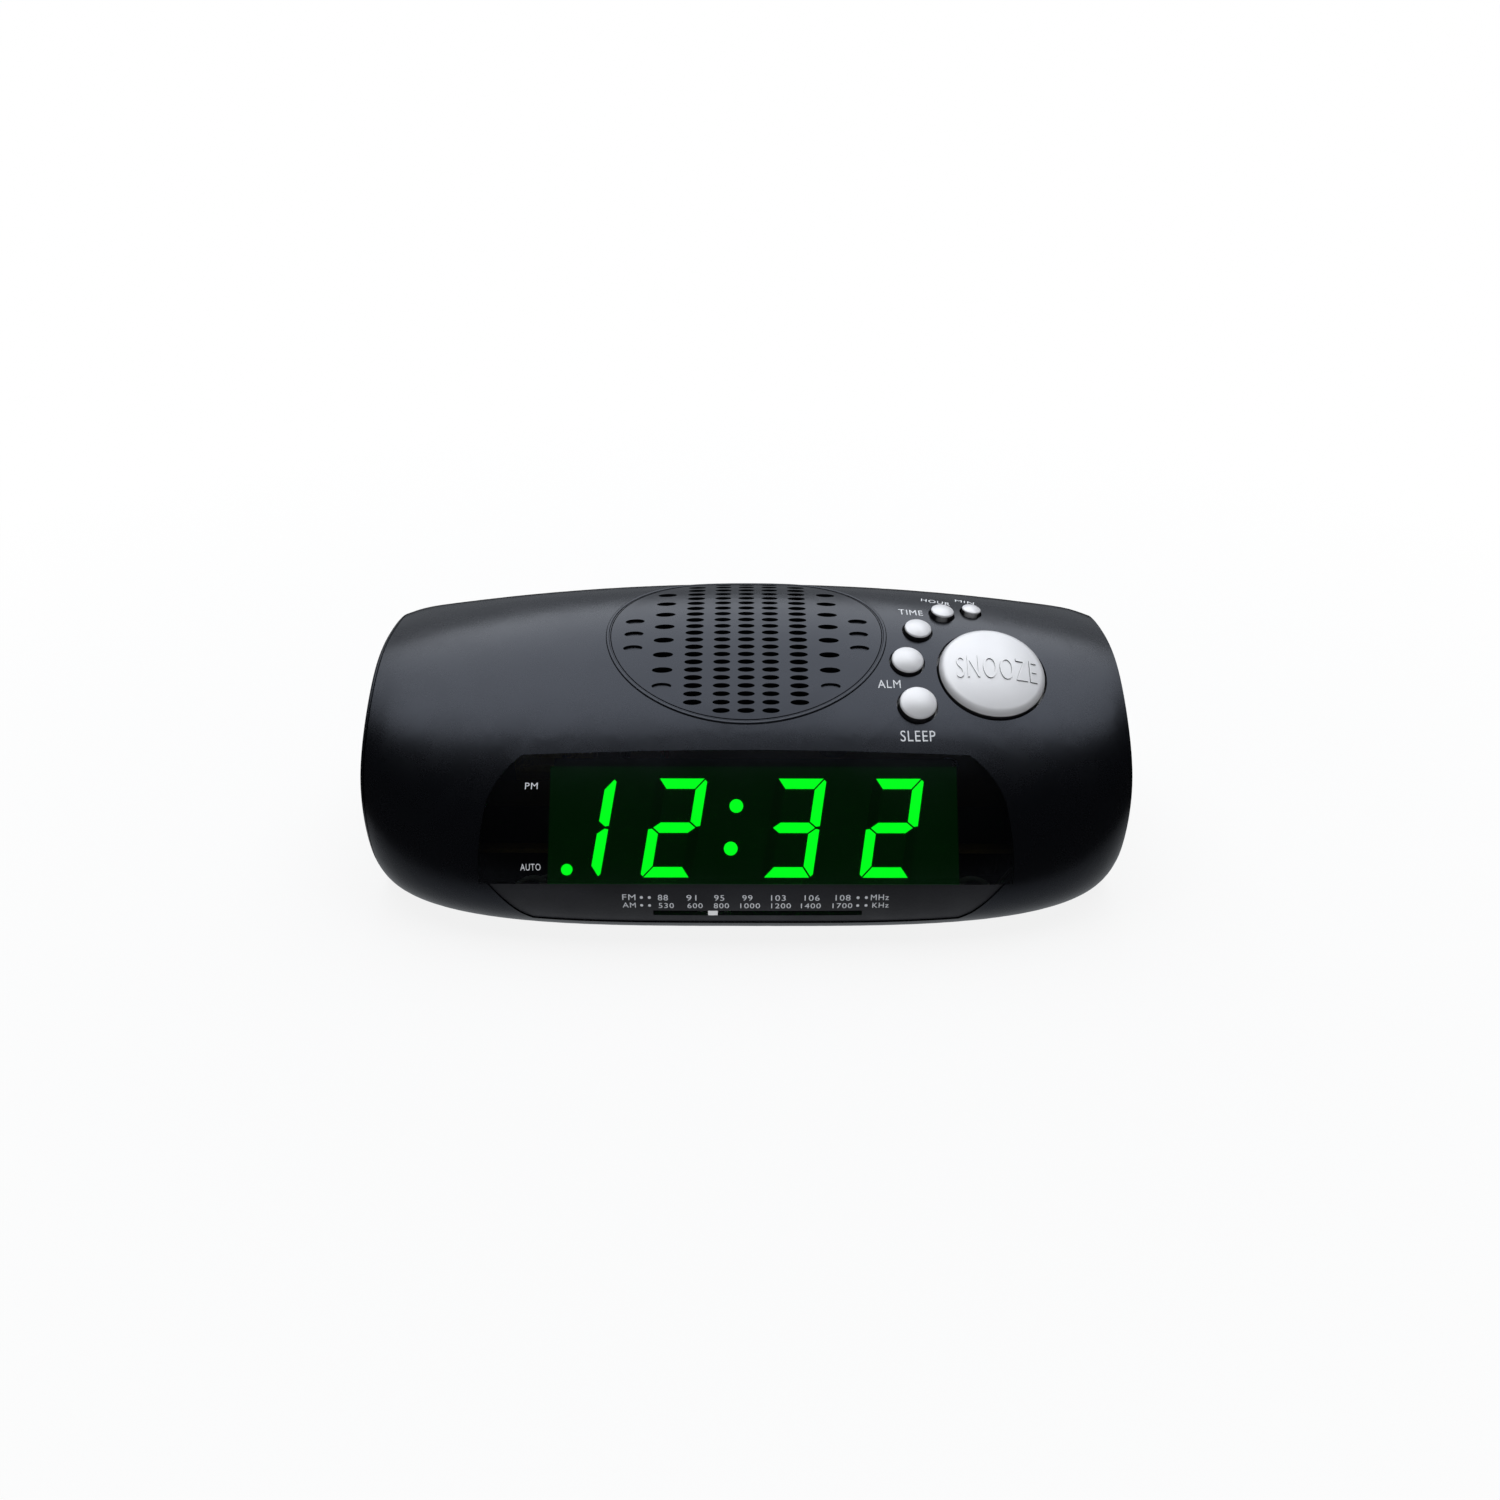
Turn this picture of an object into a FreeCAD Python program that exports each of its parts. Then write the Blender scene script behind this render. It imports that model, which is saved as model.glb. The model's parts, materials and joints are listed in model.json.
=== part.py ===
import FreeCAD, Part
import math
import os
import Sketcher
from FreeCAD import Placement, Rotation, Vector

# Bedside clock radio. Millimetres. +X is the viewer's right, +Y the back, +Z up.
# The parts are laid out about the middle of the housing's footprint on the table. FRAME then moves
# them all, so that the origin is the middle of the whole object's footprint with its cord.

DIMENSIONS = {
    # housing
    "half_width": 115.0, "base_z": 1.5, "wall": 2.4, "corner_power": 3.4, "corner_reach": 1.05,
    "seam_gap": 0.4, "seam_depth": 0.7, "cap_rim": 1.0, "cap_plug": 2.2, "cap_clearance": 0.1,
    "cover_thickness": 2.2, "fit_gap": 0.15,
    # display window and dial strip
    "lens_thickness": 2.0, "lens_half": 76.6, "strip_thickness": 1.6, "strip_set_back": 0.5,
    "slot_left": -26.8, "slot_right": 33.7, "slot_z": 12.0, "slot_height": 2.0,
    # speaker grille
    "grille_y": 9.1, "grille_half_x": 41.9, "grille_half_y": 29.4, "grille_thickness": 2.2,
    "grille_gap": 0.3, "hole_row_pitch": 2.84, "hole_centre_y": 8.0,
    "hole_length": 5.2, "hole_height": 1.75,
    # buttons
    "button_travel": 0.8, "button_gap": 0.6, "snooze_radius": 16.3, "sleep_radius": 5.6,
    "alarm_radius": 4.9, "time_radius": 4.2, "hour_radius": 3.65, "minute_radius": 3.0,
    # display block
    "led_width": 120.0, "led_height": 35.0, "led_depth": 6.5, "board_thickness": 1.6,
    "digit_height": 29.0, "digit_width": 15.0, "stroke": 3.0, "segment_rise": 0.3,
    # tuning drive
    "wheel_x": 94.5, "wheel_y": 12.0, "wheel_radius": 23.0, "wheel_low": 6.0, "wheel_high": 9.6,
    "cord_radius": 0.4, "drum_radius": 16.6, "cord_z": 11.25, "pulley_radius": 3.95,
    "pulley_left_x": -64.0, "pulley_right_x": 68.0, "pulley_y": -43.2, "pin_radius": 1.5,
    "running_clearance": 0.05,
    # volume control
    "volume_x": -103.5, "volume_y": -2.0, "volume_radius": 14.0, "volume_z": 26.0,
    # main board
    "main_board_z": 17.0, "main_board_left": -110.0, "main_board_right": 108.0,
    "main_board_front": -33.0, "main_board_back": 44.0,
    # speaker
    "speaker_radius": 28.5, "speaker_depth": 17.0, "magnet_radius": 14.0,
    # transformer
    "transformer_x": -64.0, "transformer_y": 25.0, "lamination_width": 41.0,
    "lamination_height": 34.0, "lamination_stack": 18.0,
    # ferrite aerial
    "rod_length": 90.0, "rod_radius": 4.75, "rod_left": -25.0, "rod_y": 39.0, "rod_z": 30.0,
    # battery bay
    "door_radius": 13.0, "cell_radius": 10.0, "cell_height": 3.2,
    # mains cord
    "cord_flex_radius": 2.2, "cord_exit_x": -40.0, "cord_exit_z": 17.0,
    # from the middle of the housing to the middle of the whole object
    "footprint_shift": 31.1,
}

os.makedirs("parts", exist_ok=True)
doc = FreeCAD.newDocument("clock_radio")
sheet = doc.addObject("Spreadsheet::Sheet", "dims")
for row, (alias, value) in enumerate(DIMENSIONS.items(), start=1):
    sheet.set("A%d" % row, alias)
    sheet.set("B%d" % row, str(value))
    sheet.setAlias("B%d" % row, alias)
doc.recompute()


def dim(alias):
    """Value of one driving dimension, read back from the sheet."""
    return float(getattr(sheet, alias))


NODES = []
FRAME = Placement(Vector(0, -dim("footprint_shift"), 0), Rotation())


def keep(item, label):
    item.Label = label
    NODES.append(item)
    return item


# ---------------------------------------------------------------- housing surface
# Profile points (y, z) of the middle section and of the end section, from the front foot,
# up the front, over the top and down to the rear foot. share says how strongly each point
# follows the rounded corner plan; the rest follows a plain crown.
MIDDLE_PROFILE = [
    (-48.5, 1.5), (-56.5, 8.0), (-57.0, 20.0), (-44.0, 38.0), (-26.0, 54.0), (-7.0, 64.5),
    (12.0, 74.0), (35.5, 77.0), (48.5, 69.5), (56.0, 49.5), (56.5, 18.0), (55.5, 1.5),
]
END_PROFILE = [
    (-22.0, 1.5), (-27.5, 7.5), (-31.5, 18.0), (-30.5, 35.5), (-23.0, 47.0), (-6.0, 59.0),
    (11.0, 66.0), (38.5, 64.5), (45.5, 63.0), (52.5, 43.5), (53.0, 15.0), (52.0, 1.5),
]
CORNER_SHARE = [1, 1, 1, 0.9, 0.6, 0.3, 0, 0, 0, 0, 0, 0]
TUCK_START = 0.92                   # share of the half width where the rear edge starts to drop
REAR_TUCK = {7: (-1.0, 0.0), 8: (-1.0, -2.6)}       # its drop at the end, by profile point
STATIONS = [0, 0.25, 0.45, 0.6, 0.72, 0.82, 0.9, 0.955, 0.985, 1.0]
PROFILE_SAMPLES = 36


def corner_blend(station):
    """0 in the middle and 1 at the end plane, rounded like a superellipse."""
    power = dim("corner_power")

    def drop(ratio):
        return 1 - (1 - ratio ** power) ** (1 / power)
    return drop(station / dim("corner_reach")) / drop(1 / dim("corner_reach"))


def profile_curve(station):
    """Spline of the outer profile at a fraction of the half width, in the YZ plane at X = 0."""
    rounded = corner_blend(abs(station))
    crowned = station ** 2
    tucked = max(0.0, (abs(station) - TUCK_START) / (1 - TUCK_START)) ** 1.6
    poles = []
    for index, middle in enumerate(MIDDLE_PROFILE):
        end, share = END_PROFILE[index], CORNER_SHARE[index]
        amount = rounded * share + crowned * (1 - share)
        tuck = REAR_TUCK.get(index, (0, 0))
        y = middle[0] + (end[0] - middle[0]) * amount + tuck[0] * tucked
        z = middle[1] + (end[1] - middle[1]) * amount + tuck[1] * tucked
        poles.append(Vector(0, y, z))
    inner = len(poles) - 4
    knots = [i / (inner + 1) for i in range(inner + 2)]
    curve = Part.BSplineCurve()
    curve.buildFromPolesMultsKnots(poles, [4] + [1] * inner + [4], knots, False, 3)
    return curve


def profile_points(station, inset):
    """Points along the profile, moved inwards by inset, at X of the station."""
    curve = profile_curve(station)
    x = station * dim("half_width")
    points = []
    for i in range(PROFILE_SAMPLES + 1):
        t = i / PROFILE_SAMPLES
        tangent = curve.tangent(t)[0]
        inward = Vector(0, tangent.z, -tangent.y)
        points.append(curve.value(t) + inward * inset + Vector(x, 0, 0))
    return points


def housing_solid(inset, floor_z):
    """Solid bounded by the housing surface moved in by inset and by a flat floor."""
    stations = [-s for s in reversed(STATIONS[1:])] + STATIONS
    wires = []
    for station in stations:
        points = profile_points(station, inset)
        curve = Part.BSplineCurve()
        curve.interpolate(points)
        first, last = points[0], points[-1]
        front = Vector(first.x, first.y, floor_z)
        rear = Vector(last.x, last.y, floor_z)
        edges = [curve.toShape()]
        if abs(floor_z - first.z) > 0.01:
            edges += [Part.makeLine(last, rear), Part.makeLine(rear, front),
                      Part.makeLine(front, first)]
        else:
            edges.append(Part.makeLine(last, first))
        wires.append(Part.Wire(edges))
    return Part.makeLoft(wires, True, False)


def surface_point(x, y):
    """Point on the upper housing surface above (x, y) and its outward normal."""
    half = dim("half_width")

    def height(px, py):
        curve = profile_curve(px / half)
        low, high = 0.12, 0.72
        for _ in range(40):
            mid = (low + high) / 2
            if curve.value(mid).y < py:
                low = mid
            else:
                high = mid
        return curve.value(low).z
    step = 0.2
    slope_x = (height(x + step, y) - height(x - step, y)) / (2 * step)
    slope_y = (height(x, y + step) - height(x, y - step)) / (2 * step)
    normal = Vector(-slope_x, -slope_y, 1)
    normal.normalize()
    return Vector(x, y, height(x, y)), normal


# ---------------------------------------------------------------- sketch and feature helpers
def amount(owner, size):
    """Number behind a size given as a plain number or as an expression on the sheet."""
    if isinstance(size, str):
        return float(owner.evalExpression(size))
    return float(size)


def bind(owner, prop, size):
    if isinstance(size, str):
        owner.setExpression(prop, size)
    else:
        setattr(owner, prop, size)


def new_body(label, placement=None):
    body = doc.addObject("PartDesign::Body", label)
    body.Placement = FRAME.multiply(placement or Placement())
    return keep(body, label)


def new_sketch(body, role, lift=0.0):
    """Sketch on one of the body's own origin planes, lifted along that plane's normal."""
    plane = [f for f in body.Origin.OriginFeatures if f.Role == role][0]
    sketch = body.newObject("Sketcher::SketchObject", body.Label + "_outline")
    sketch.AttachmentSupport = [(plane, "")]
    sketch.MapMode = "FlatFace"
    sketch.AttachmentOffset = Placement(Vector(0, 0, amount(sketch, lift)), Rotation())
    if isinstance(lift, str):
        sketch.setExpression(".AttachmentOffset.Base.z", lift)
    return sketch


def pin_point(sketch, geometry, vertex, x, y):
    """Fix one vertex at (x, y), each a number or an expression on the sheet."""
    for kind, axis, size in (("DistanceX", -2, x), ("DistanceY", -1, y)):
        if abs(amount(sketch, size)) < 1e-9:
            sketch.addConstraint(Sketcher.Constraint("PointOnObject", geometry, vertex, axis))
            continue
        number = amount(sketch, size)
        index = sketch.addConstraint(
            Sketcher.Constraint(kind, -1, 1, geometry, vertex, number))
        if isinstance(size, str):
            sketch.setExpression("Constraints[%d]" % index, size)


def add_outline(sketch, corners):
    """Closed outline through the corners. A corner (x, y, bulge) ends an arc that stands
    proud of its chord by bulge, to the right of the direction of travel."""
    count = len(corners)
    spots = [Vector(amount(sketch, c[0]), amount(sketch, c[1]), 0) for c in corners]
    base = sketch.GeometryCount
    for i in range(count):
        start, end = spots[i], spots[(i + 1) % count]
        target = corners[(i + 1) % count]
        if len(target) == 3:
            chord = end - start
            side = Vector(chord.y, -chord.x, 0).normalize()
            middle = (start + end) * 0.5 + side * amount(sketch, target[2])
            sketch.addGeometry(Part.Arc(start, middle, end), False)
        else:
            sketch.addGeometry(Part.LineSegment(start, end), False)
    for i in range(count):
        arc = sketch.Geometry[base + i]
        first = 1
        if arc.TypeId == "Part::GeomArcOfCircle" and (arc.StartPoint - spots[i]).Length > 1e-4:
            first = 2
        before = base + (i - 1) % count
        previous = sketch.Geometry[before]
        last = 2
        if previous.TypeId == "Part::GeomArcOfCircle" and (previous.EndPoint - spots[i]).Length > 1e-4:
            last = 1
        sketch.addConstraint(Sketcher.Constraint("Coincident", before, last, base + i, first))
        pin_point(sketch, base + i, first, corners[i][0], corners[i][1])
    return sketch


def add_circle(sketch, x, y, radius):
    shape = Part.Circle(Vector(amount(sketch, x), amount(sketch, y), 0), Vector(0, 0, 1),
                        amount(sketch, radius))
    geometry = sketch.addGeometry(shape, False)
    index = sketch.addConstraint(Sketcher.Constraint("Radius", geometry, amount(sketch, radius)))
    if isinstance(radius, str):
        sketch.setExpression("Constraints[%d]" % index, radius)
    pin_point(sketch, geometry, 3, x, y)
    return sketch


def box_corners(x0, y0, x1, y1):
    return [(x0, y0), (x1, y0), (x1, y1), (x0, y1)]


def pad(body, sketch, length, reverse=False):
    feature = body.newObject("PartDesign::Pad", body.Label + "_pad")
    feature.Profile = sketch
    bind(feature, "Length", length)
    feature.Reversed = reverse
    sketch.Visibility = False
    doc.recompute()
    return feature


def pocket(body, sketch, length, reverse=False):
    """Pocket that must remove material."""
    before = body.Shape.Volume
    feature = body.newObject("PartDesign::Pocket", body.Label + "_pocket")
    feature.Profile = sketch
    bind(feature, "Length", length)
    feature.Reversed = reverse
    doc.recompute()
    if body.Shape.Volume > before - 1e-3:
        raise RuntimeError("pocket cut nothing in " + body.Label)
    return feature


def revolve(body, corners, cut=False):
    """Turn an outline of (radius, height) corners round the body's own Z axis."""
    sketch = add_outline(new_sketch(body, "XZ_Plane"), corners)
    kind = "Groove" if cut else "Revolution"
    before = body.Shape.Volume if cut else 0.0
    feature = body.newObject("PartDesign::" + kind, body.Label + "_turn")
    feature.Profile = sketch
    feature.ReferenceAxis = (sketch, ["V_Axis"])
    feature.Angle = 360.0
    doc.recompute()
    if cut and body.Shape.Volume > before - 1e-3:
        raise RuntimeError("groove cut nothing in " + body.Label)
    return feature


def block(body, x0, y0, z0, x1, y1, z1):
    """Pad a box between two corners."""
    sketch = add_outline(new_sketch(body, "XY_Plane", z0), box_corners(x0, y0, x1, y1))
    height = amount(sketch, z1) - amount(sketch, z0)
    if isinstance(z0, str) or isinstance(z1, str):
        height = "(%s) - (%s)" % (z1, z0)
    return pad(body, sketch, height)


def posts(body, places, radius, z0, z1):
    """Pad one round post at each (x, y)."""
    sketch = new_sketch(body, "XY_Plane", z0)
    for x, y in places:
        add_circle(sketch, x, y, radius)
    return pad(body, sketch, "(%s) - (%s)" % (z1, z0))


def holes(body, places, radius, z0, z1):
    """Round holes between two heights."""
    sketch = new_sketch(body, "XY_Plane", z0)
    for x, y in places:
        add_circle(sketch, x, y, radius)
    return pocket(body, sketch, "(%s) - (%s)" % (z1, z0), reverse=True)


def feature_node(label, shape):
    """Node whose shape comes from Part's own functions."""
    item = doc.addObject("Part::Feature", label)
    item.Shape = shape
    item.Placement = FRAME.multiply(item.Placement)
    return keep(item, label)


def prism(outline, direction):
    """Solid swept along a direction from a closed wire."""
    return Part.Face(outline).extrude(direction)


def cylinder(base, axis, radius, length):
    return Part.makeCylinder(radius, length, base, axis)


def frame_at(point, normal):
    """Placement whose Z axis points along the normal."""
    return Placement(point, Rotation(Vector(0, 0, 1), normal))


# ---------------------------------------------------------------- mechanism layout
HALF = dim("half_width")
WALL = dim("wall")
BASE = dim("base_z")
GAP = dim("fit_gap")
SIGHT = Vector(0, -0.78, 0.62)      # slope of the joint between window and dial strip
JOINT_Y = -54.0
JOINT_Z = 21.9
REACH = 400.0                       # longer than anything in the housing
SHELL_SCREWS = [(-86.0, -36.8), (86.0, -36.8), (-70.0, 48.7), (70.0, 48.7)]
BOARD_SCREWS = [(-96.0, 36.0), (88.0, 40.5), (-92.0, -28.0), (76.0, -24.0)]
FEET = [(-80.0, -24.0), (80.0, -24.0), (-80.0, 36.0), (80.0, 36.0)]
WHEEL = Vector(dim("wheel_x"), dim("wheel_y"), 0)
VOLUME = Vector(dim("volume_x"), dim("volume_y"), 0)
SPEAKER = frame_at(Vector(0, 10.8, 61.5), Vector(0, -0.276, 0.961))
FLANGE_UNDER = -1.2                 # underside of the speaker's flange in its own frame
SPEAKER_POSTS = [(sx * 22.4, sy * 22.4) for sx in (-1, 1) for sy in (-1, 1)]
CELL = Vector(40.0, 5.0, 0)
CUP_RADIUS = 16.0
CUP_TOP = 10.2
DOOR_RADIUS = dim("door_radius")
TAB_ANGLES = (0.0, 180.0)
TAB_TURN = 60.0
PIN_FOOT = 4.6
PULLEY_LOW = 10.1
PULLEY_HIGH = 12.4
RAIL_Y = -45.6
RAIL_Z = 7.0
RAIL_POSTS = (-50.0, 55.0)
POINTER_X = -9.5
FUNCTION_SWITCH = Vector(-104.0, 30.0, 24.0)
BAND_SWITCH = Vector(104.0, -14.0, 23.0)
EAR_Z = 10.0
TRANSFORMER_FEET = [(-91.0, 25.0), (-37.0, 25.0)]
LED_PLANE = Vector(0, -39.1, 30.3)          # middle of the display block's front face
LED_TURN = Rotation(Vector(1, 0, 0), math.degrees(math.atan2(0.76, 0.65)))
DISPLAY_POSTS = [(-79.2, 2.0), (79.2, 2.0)]
AERIAL = Vector(79.0, 50.0, 22.0)
BASE_VENTS = [-34.0 + 5.0 * i for i in range(8)]
REAR_VENTS = [-94.0 + 6.0 * i for i in range(8)]

BUTTONS = {
    # name: x, y, radius alias, edge height, crown, flange depth
    "snooze_button": (74.7, -4.0, "snooze_radius", 1.3, 2.3, 5.2),
    "sleep_button": (51.0, -15.6, "sleep_radius", 1.9, 1.3, 3.4),
    "alarm_button": (49.0, -1.7, "alarm_radius", 1.4, 1.2, 3.3),
    "time_button": (53.3, 10.4, "time_radius", 1.5, 1.0, 3.2),
    "hour_button": (62.1, 19.8, "hour_radius", 1.7, 0.9, 3.1),
    "minute_button": (71.9, 23.0, "minute_radius", 1.4, 0.8, 3.1),
}
FRONT_GROUP = ("snooze_button", "sleep_button", "alarm_button")
SEATS = {name: surface_point(spec[0], spec[1]) for name, spec in BUTTONS.items()}


def board_plane(x, y, normal, depth):
    """Plane of a button board, depth below the housing surface above (x, y)."""
    point = surface_point(x, y)[0] - normal * depth
    return point, normal


FRONT_BOARD = board_plane(74.7, -6.2, Vector(0.05, -0.46, 0.886).normalize(), 17.0)
REAR_BOARD = board_plane(62.1, 19.8, Vector(0.08, -0.14, 0.987).normalize(), 14.0)


def button_board(name):
    return FRONT_BOARD if name in FRONT_GROUP else REAR_BOARD


def switch_depth(name):
    """Distance along a button's own axis from the housing surface to its board."""
    point, normal = SEATS[name]
    plane_point, plane_normal = button_board(name)
    return (point - plane_point).dot(plane_normal) / normal.dot(plane_normal)


# ---------------------------------------------------------------- housing parts
def window_outline(grow):
    """Window edge in the XZ plane: arched top, rounded shoulders, nearly upright sides."""
    half = dim("lens_half") + grow
    top = [Vector(-65.3, 0, 49.3 + grow), Vector(0, 0, 51.0 + grow), Vector(65.3, 0, 49.3 + grow)]
    right = [Vector(half - 1.6, 0, 40.0), Vector(half, 0, 32.0), Vector(half - 0.6, 0, 10.0)]
    shoulder = Vector(70.9 + grow * 0.7, 0, 45.4 + grow * 0.7)

    def mirror(p):
        return Vector(-p.x, p.y, p.z)
    edges = [
        Part.Arc(top[0], top[1], top[2]).toShape(),
        Part.Arc(top[2], shoulder, right[0]).toShape(),
        Part.Arc(right[0], right[1], right[2]).toShape(),
        Part.makeLine(right[2], mirror(right[2])),
        Part.Arc(mirror(right[2]), mirror(right[1]), mirror(right[0])).toShape(),
        Part.Arc(mirror(right[0]), mirror(shoulder), top[0]).toShape(),
    ]
    return Part.Wire(Part.__sortEdges__(edges))


def strip_outline(grow):
    """Dial strip edge in the XZ plane: sides lean in towards the foot."""
    top = dim("lens_half") - 1.0 + grow
    foot = 62.5 + grow
    low = 7.2 - grow
    corners = [Vector(-top, 0, 30), Vector(-top, 0, 20.5), Vector(-foot - 3.5, 0, low + 3.0),
               Vector(-foot, 0, low), Vector(foot, 0, low), Vector(foot + 3.5, 0, low + 3.0),
               Vector(top, 0, 20.5), Vector(top, 0, 30)]
    return Part.makePolygon(corners + corners[:1])


def front_prism(outline):
    """Prism through the front half of the housing."""
    solid = prism(outline, Vector(0, 90, 0))
    solid.translate(Vector(0, -90, 0))
    return solid


def above_joint(lift):
    """Half space above the sloping joint between window and strip, moved up by lift."""
    wide = Part.makeBox(REACH, REACH, REACH, Vector(-REACH / 2, -REACH / 2, 0))
    rotation = Rotation(Vector(1, 0, 0), -math.degrees(math.atan2(SIGHT.z, -SIGHT.y)))
    wide.Placement = Placement(Vector(0, JOINT_Y, JOINT_Z + lift), rotation)
    return wide


OUTER = housing_solid(0.0, BASE)
INNER = housing_solid(WALL, BASE - 4.0)
LENS_BACK = housing_solid(dim("lens_thickness"), BASE)
STRIP_FACE = housing_solid(dim("strip_set_back"), BASE)
STRIP_BACK = housing_solid(dim("strip_set_back") + dim("strip_thickness"), BASE)
RIM_FACE = housing_solid(dim("seam_depth"), BASE)
PLUG_FACE = housing_solid(WALL + dim("cap_clearance"), BASE)


def slab(x0, x1):
    return Part.makeBox(x1 - x0, REACH, REACH, Vector(x0, -REACH / 2, -REACH / 2))


def grille_prism(grow, low, high):
    """Upright oval prism of the speaker grille."""
    ellipse = Part.Ellipse(Vector(0, dim("grille_y"), low), dim("grille_half_x") + grow,
                           dim("grille_half_y") + grow)
    return prism(Part.Wire(ellipse.toShape()), Vector(0, 0, high - low))


def wheel_slot(centre, radius, side, z0, z1):
    """Slot in an end cap for a thumbwheel, a little longer than the wheel's chord there."""
    chord_x = HALF - 4.0 - abs(centre.x)
    half = math.sqrt(radius ** 2 - chord_x ** 2) + 0.5
    return Part.makeBox(12, 2 * half, z1 - z0, Vector(side * HALF - 6, centre.y - half, z0))


def barrel_end_left():
    return -HALF + dim("cap_rim") + dim("seam_gap")


def button_bore(name, grow):
    point, normal = SEATS[name]
    radius = dim(BUTTONS[name][2]) + grow
    return cylinder(point - normal * 12, normal, radius, 24)



def board_vector(normal, x, y):
    """Offset within a tilted board: x across the housing, y up the slope."""
    return Rotation(Vector(0, 0, 1), normal).multVec(Vector(x, y, 0))


BOARD_POSTS = {
    "snooze_button": [(-34.5, -2.5), (18.0, -11.5)],
    "hour_button": [(-17.5, 5.0), (19.0, 3.0)],
}


def board_posts(grow, start, length):
    """Cylinders along the button boards' fixing axes."""
    made = []
    for anchor, places in BOARD_POSTS.items():
        point, normal = button_board(anchor)
        for x, y in places:
            spot = point + board_vector(normal, x, y) + normal * start
            made.append(cylinder(spot, normal, grow, length))
    return made


def display_posts(radius, start, length):
    """Cylinders at the display board's two fixing ears, square to the board."""
    place = Placement(LED_PLANE, LED_TURN)
    normal = LED_TURN.multVec(Vector(0, 0, 1))
    face = -dim("led_depth")
    return [cylinder(place.multVec(Vector(x, y, face + start)), normal, radius, length)
            for x, y in DISPLAY_POSTS]


def make_main_shell():
    """Front, top and rear of the housing in one moulding, open below and at both ends."""
    shell = OUTER.cut(INNER).common(slab(barrel_end_left(), HALF + 1))
    upright = Vector(0, 0, 1)
    ribs = []
    for x, y in SHELL_SCREWS:       # square screw posts that run into the wall behind them
        low, high = sorted((y - math.copysign(3.4, y), math.copysign(60.0, y)))
        ribs.append(Part.makeBox(6.8, high - low, 70, Vector(x - 3.4, low, 4.1)))
    ribs += board_posts(2.2, 0.0, 22.0)
    ribs += display_posts(2.0, 0.0, 16.0)
    skin = housing_solid(WALL / 2, BASE)
    shell = shell.multiFuse([rib.common(skin) for rib in ribs])
    cuts = [
        front_prism(window_outline(GAP)).common(above_joint(0)),
        front_prism(strip_outline(GAP)).cut(above_joint(0)),
        grille_prism(dim("grille_gap"), 40, 90),
        cylinder(Vector(dim("cord_exit_x"), 45, dim("cord_exit_z")), Vector(0, 1, 0), 4.0, 15),
        cylinder(Vector(AERIAL.x, 45, AERIAL.z), Vector(0, 1, 0), 1.3, 15),
    ]
    cuts += [cylinder(Vector(x, y, 4.0), upright, 1.15, 12) for x, y in SHELL_SCREWS]
    cuts += board_posts(0.8, -0.5, 6.0)
    cuts += display_posts(0.8, -0.5, 4.5)
    cuts += [button_bore(name, dim("button_gap")) for name in BUTTONS]
    cuts += [Part.makeBox(2.4, 12, 16, Vector(x, 46, 26)) for x in REAR_VENTS]
    return shell.cut(cuts)


def make_display_lens():
    """Smoked window, flush with the housing."""
    skin = OUTER.cut(LENS_BACK)
    return skin.common(front_prism(window_outline(0))).common(above_joint(GAP / 2))


def make_dial_strip():
    """Matt scale panel under the window, set back a little, with the pointer's slot."""
    skin = STRIP_FACE.cut(STRIP_BACK)
    strip = skin.common(front_prism(strip_outline(0))).cut(above_joint(-GAP / 2))
    low = dim("slot_z") - dim("slot_height") / 2
    long = dim("slot_right") - dim("slot_left")
    slot = Part.makeBox(long, 30, dim("slot_height"), Vector(dim("slot_left"), -70, low))
    return strip.cut(slot)


def grille_rows():
    """Y of each hole row by row number, 0 in the middle and positive towards the front,
    evenly spaced along the surface."""
    curve = profile_curve(0)
    step = 0.0005
    middle = 0.4
    while curve.value(middle).y < dim("hole_centre_y"):
        middle += step
    rows = {0: curve.value(middle).y}
    for direction in (1, -1):
        t = middle
        for number in range(1, 11):
            start = curve.value(t)
            while (curve.value(t) - start).Length < dim("hole_row_pitch"):
                t += direction * step
            rows[-direction * number] = curve.value(t).y
    return rows


# hole columns: x, row numbers, length and height factors
HOLE_COLUMNS = [
    (0.0, range(-10, 11), 1.0, 1.0), (7.4, range(-10, 11), 1.0, 1.0),
    (16.0, range(-9, 10), 1.08, 1.08), (25.4, range(-5, 6, 2), 1.2, 1.2),
]
DIMPLES = [(25.4, 7), (25.4, -7), (34.8, -2), (34.8, 0), (34.8, 2)]


def oval_tool(x, y, long, high, z0, z1):
    """Upright elliptical cutter whose plan height allows for the slope of the surface."""
    slope = surface_point(0, y)[1].z
    ellipse = Part.Ellipse(Vector(x, y, z0), long / 2, max(high / 2 * slope, 0.3))
    return prism(Part.Wire(ellipse.toShape()), Vector(0, 0, z1 - z0))


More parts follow.
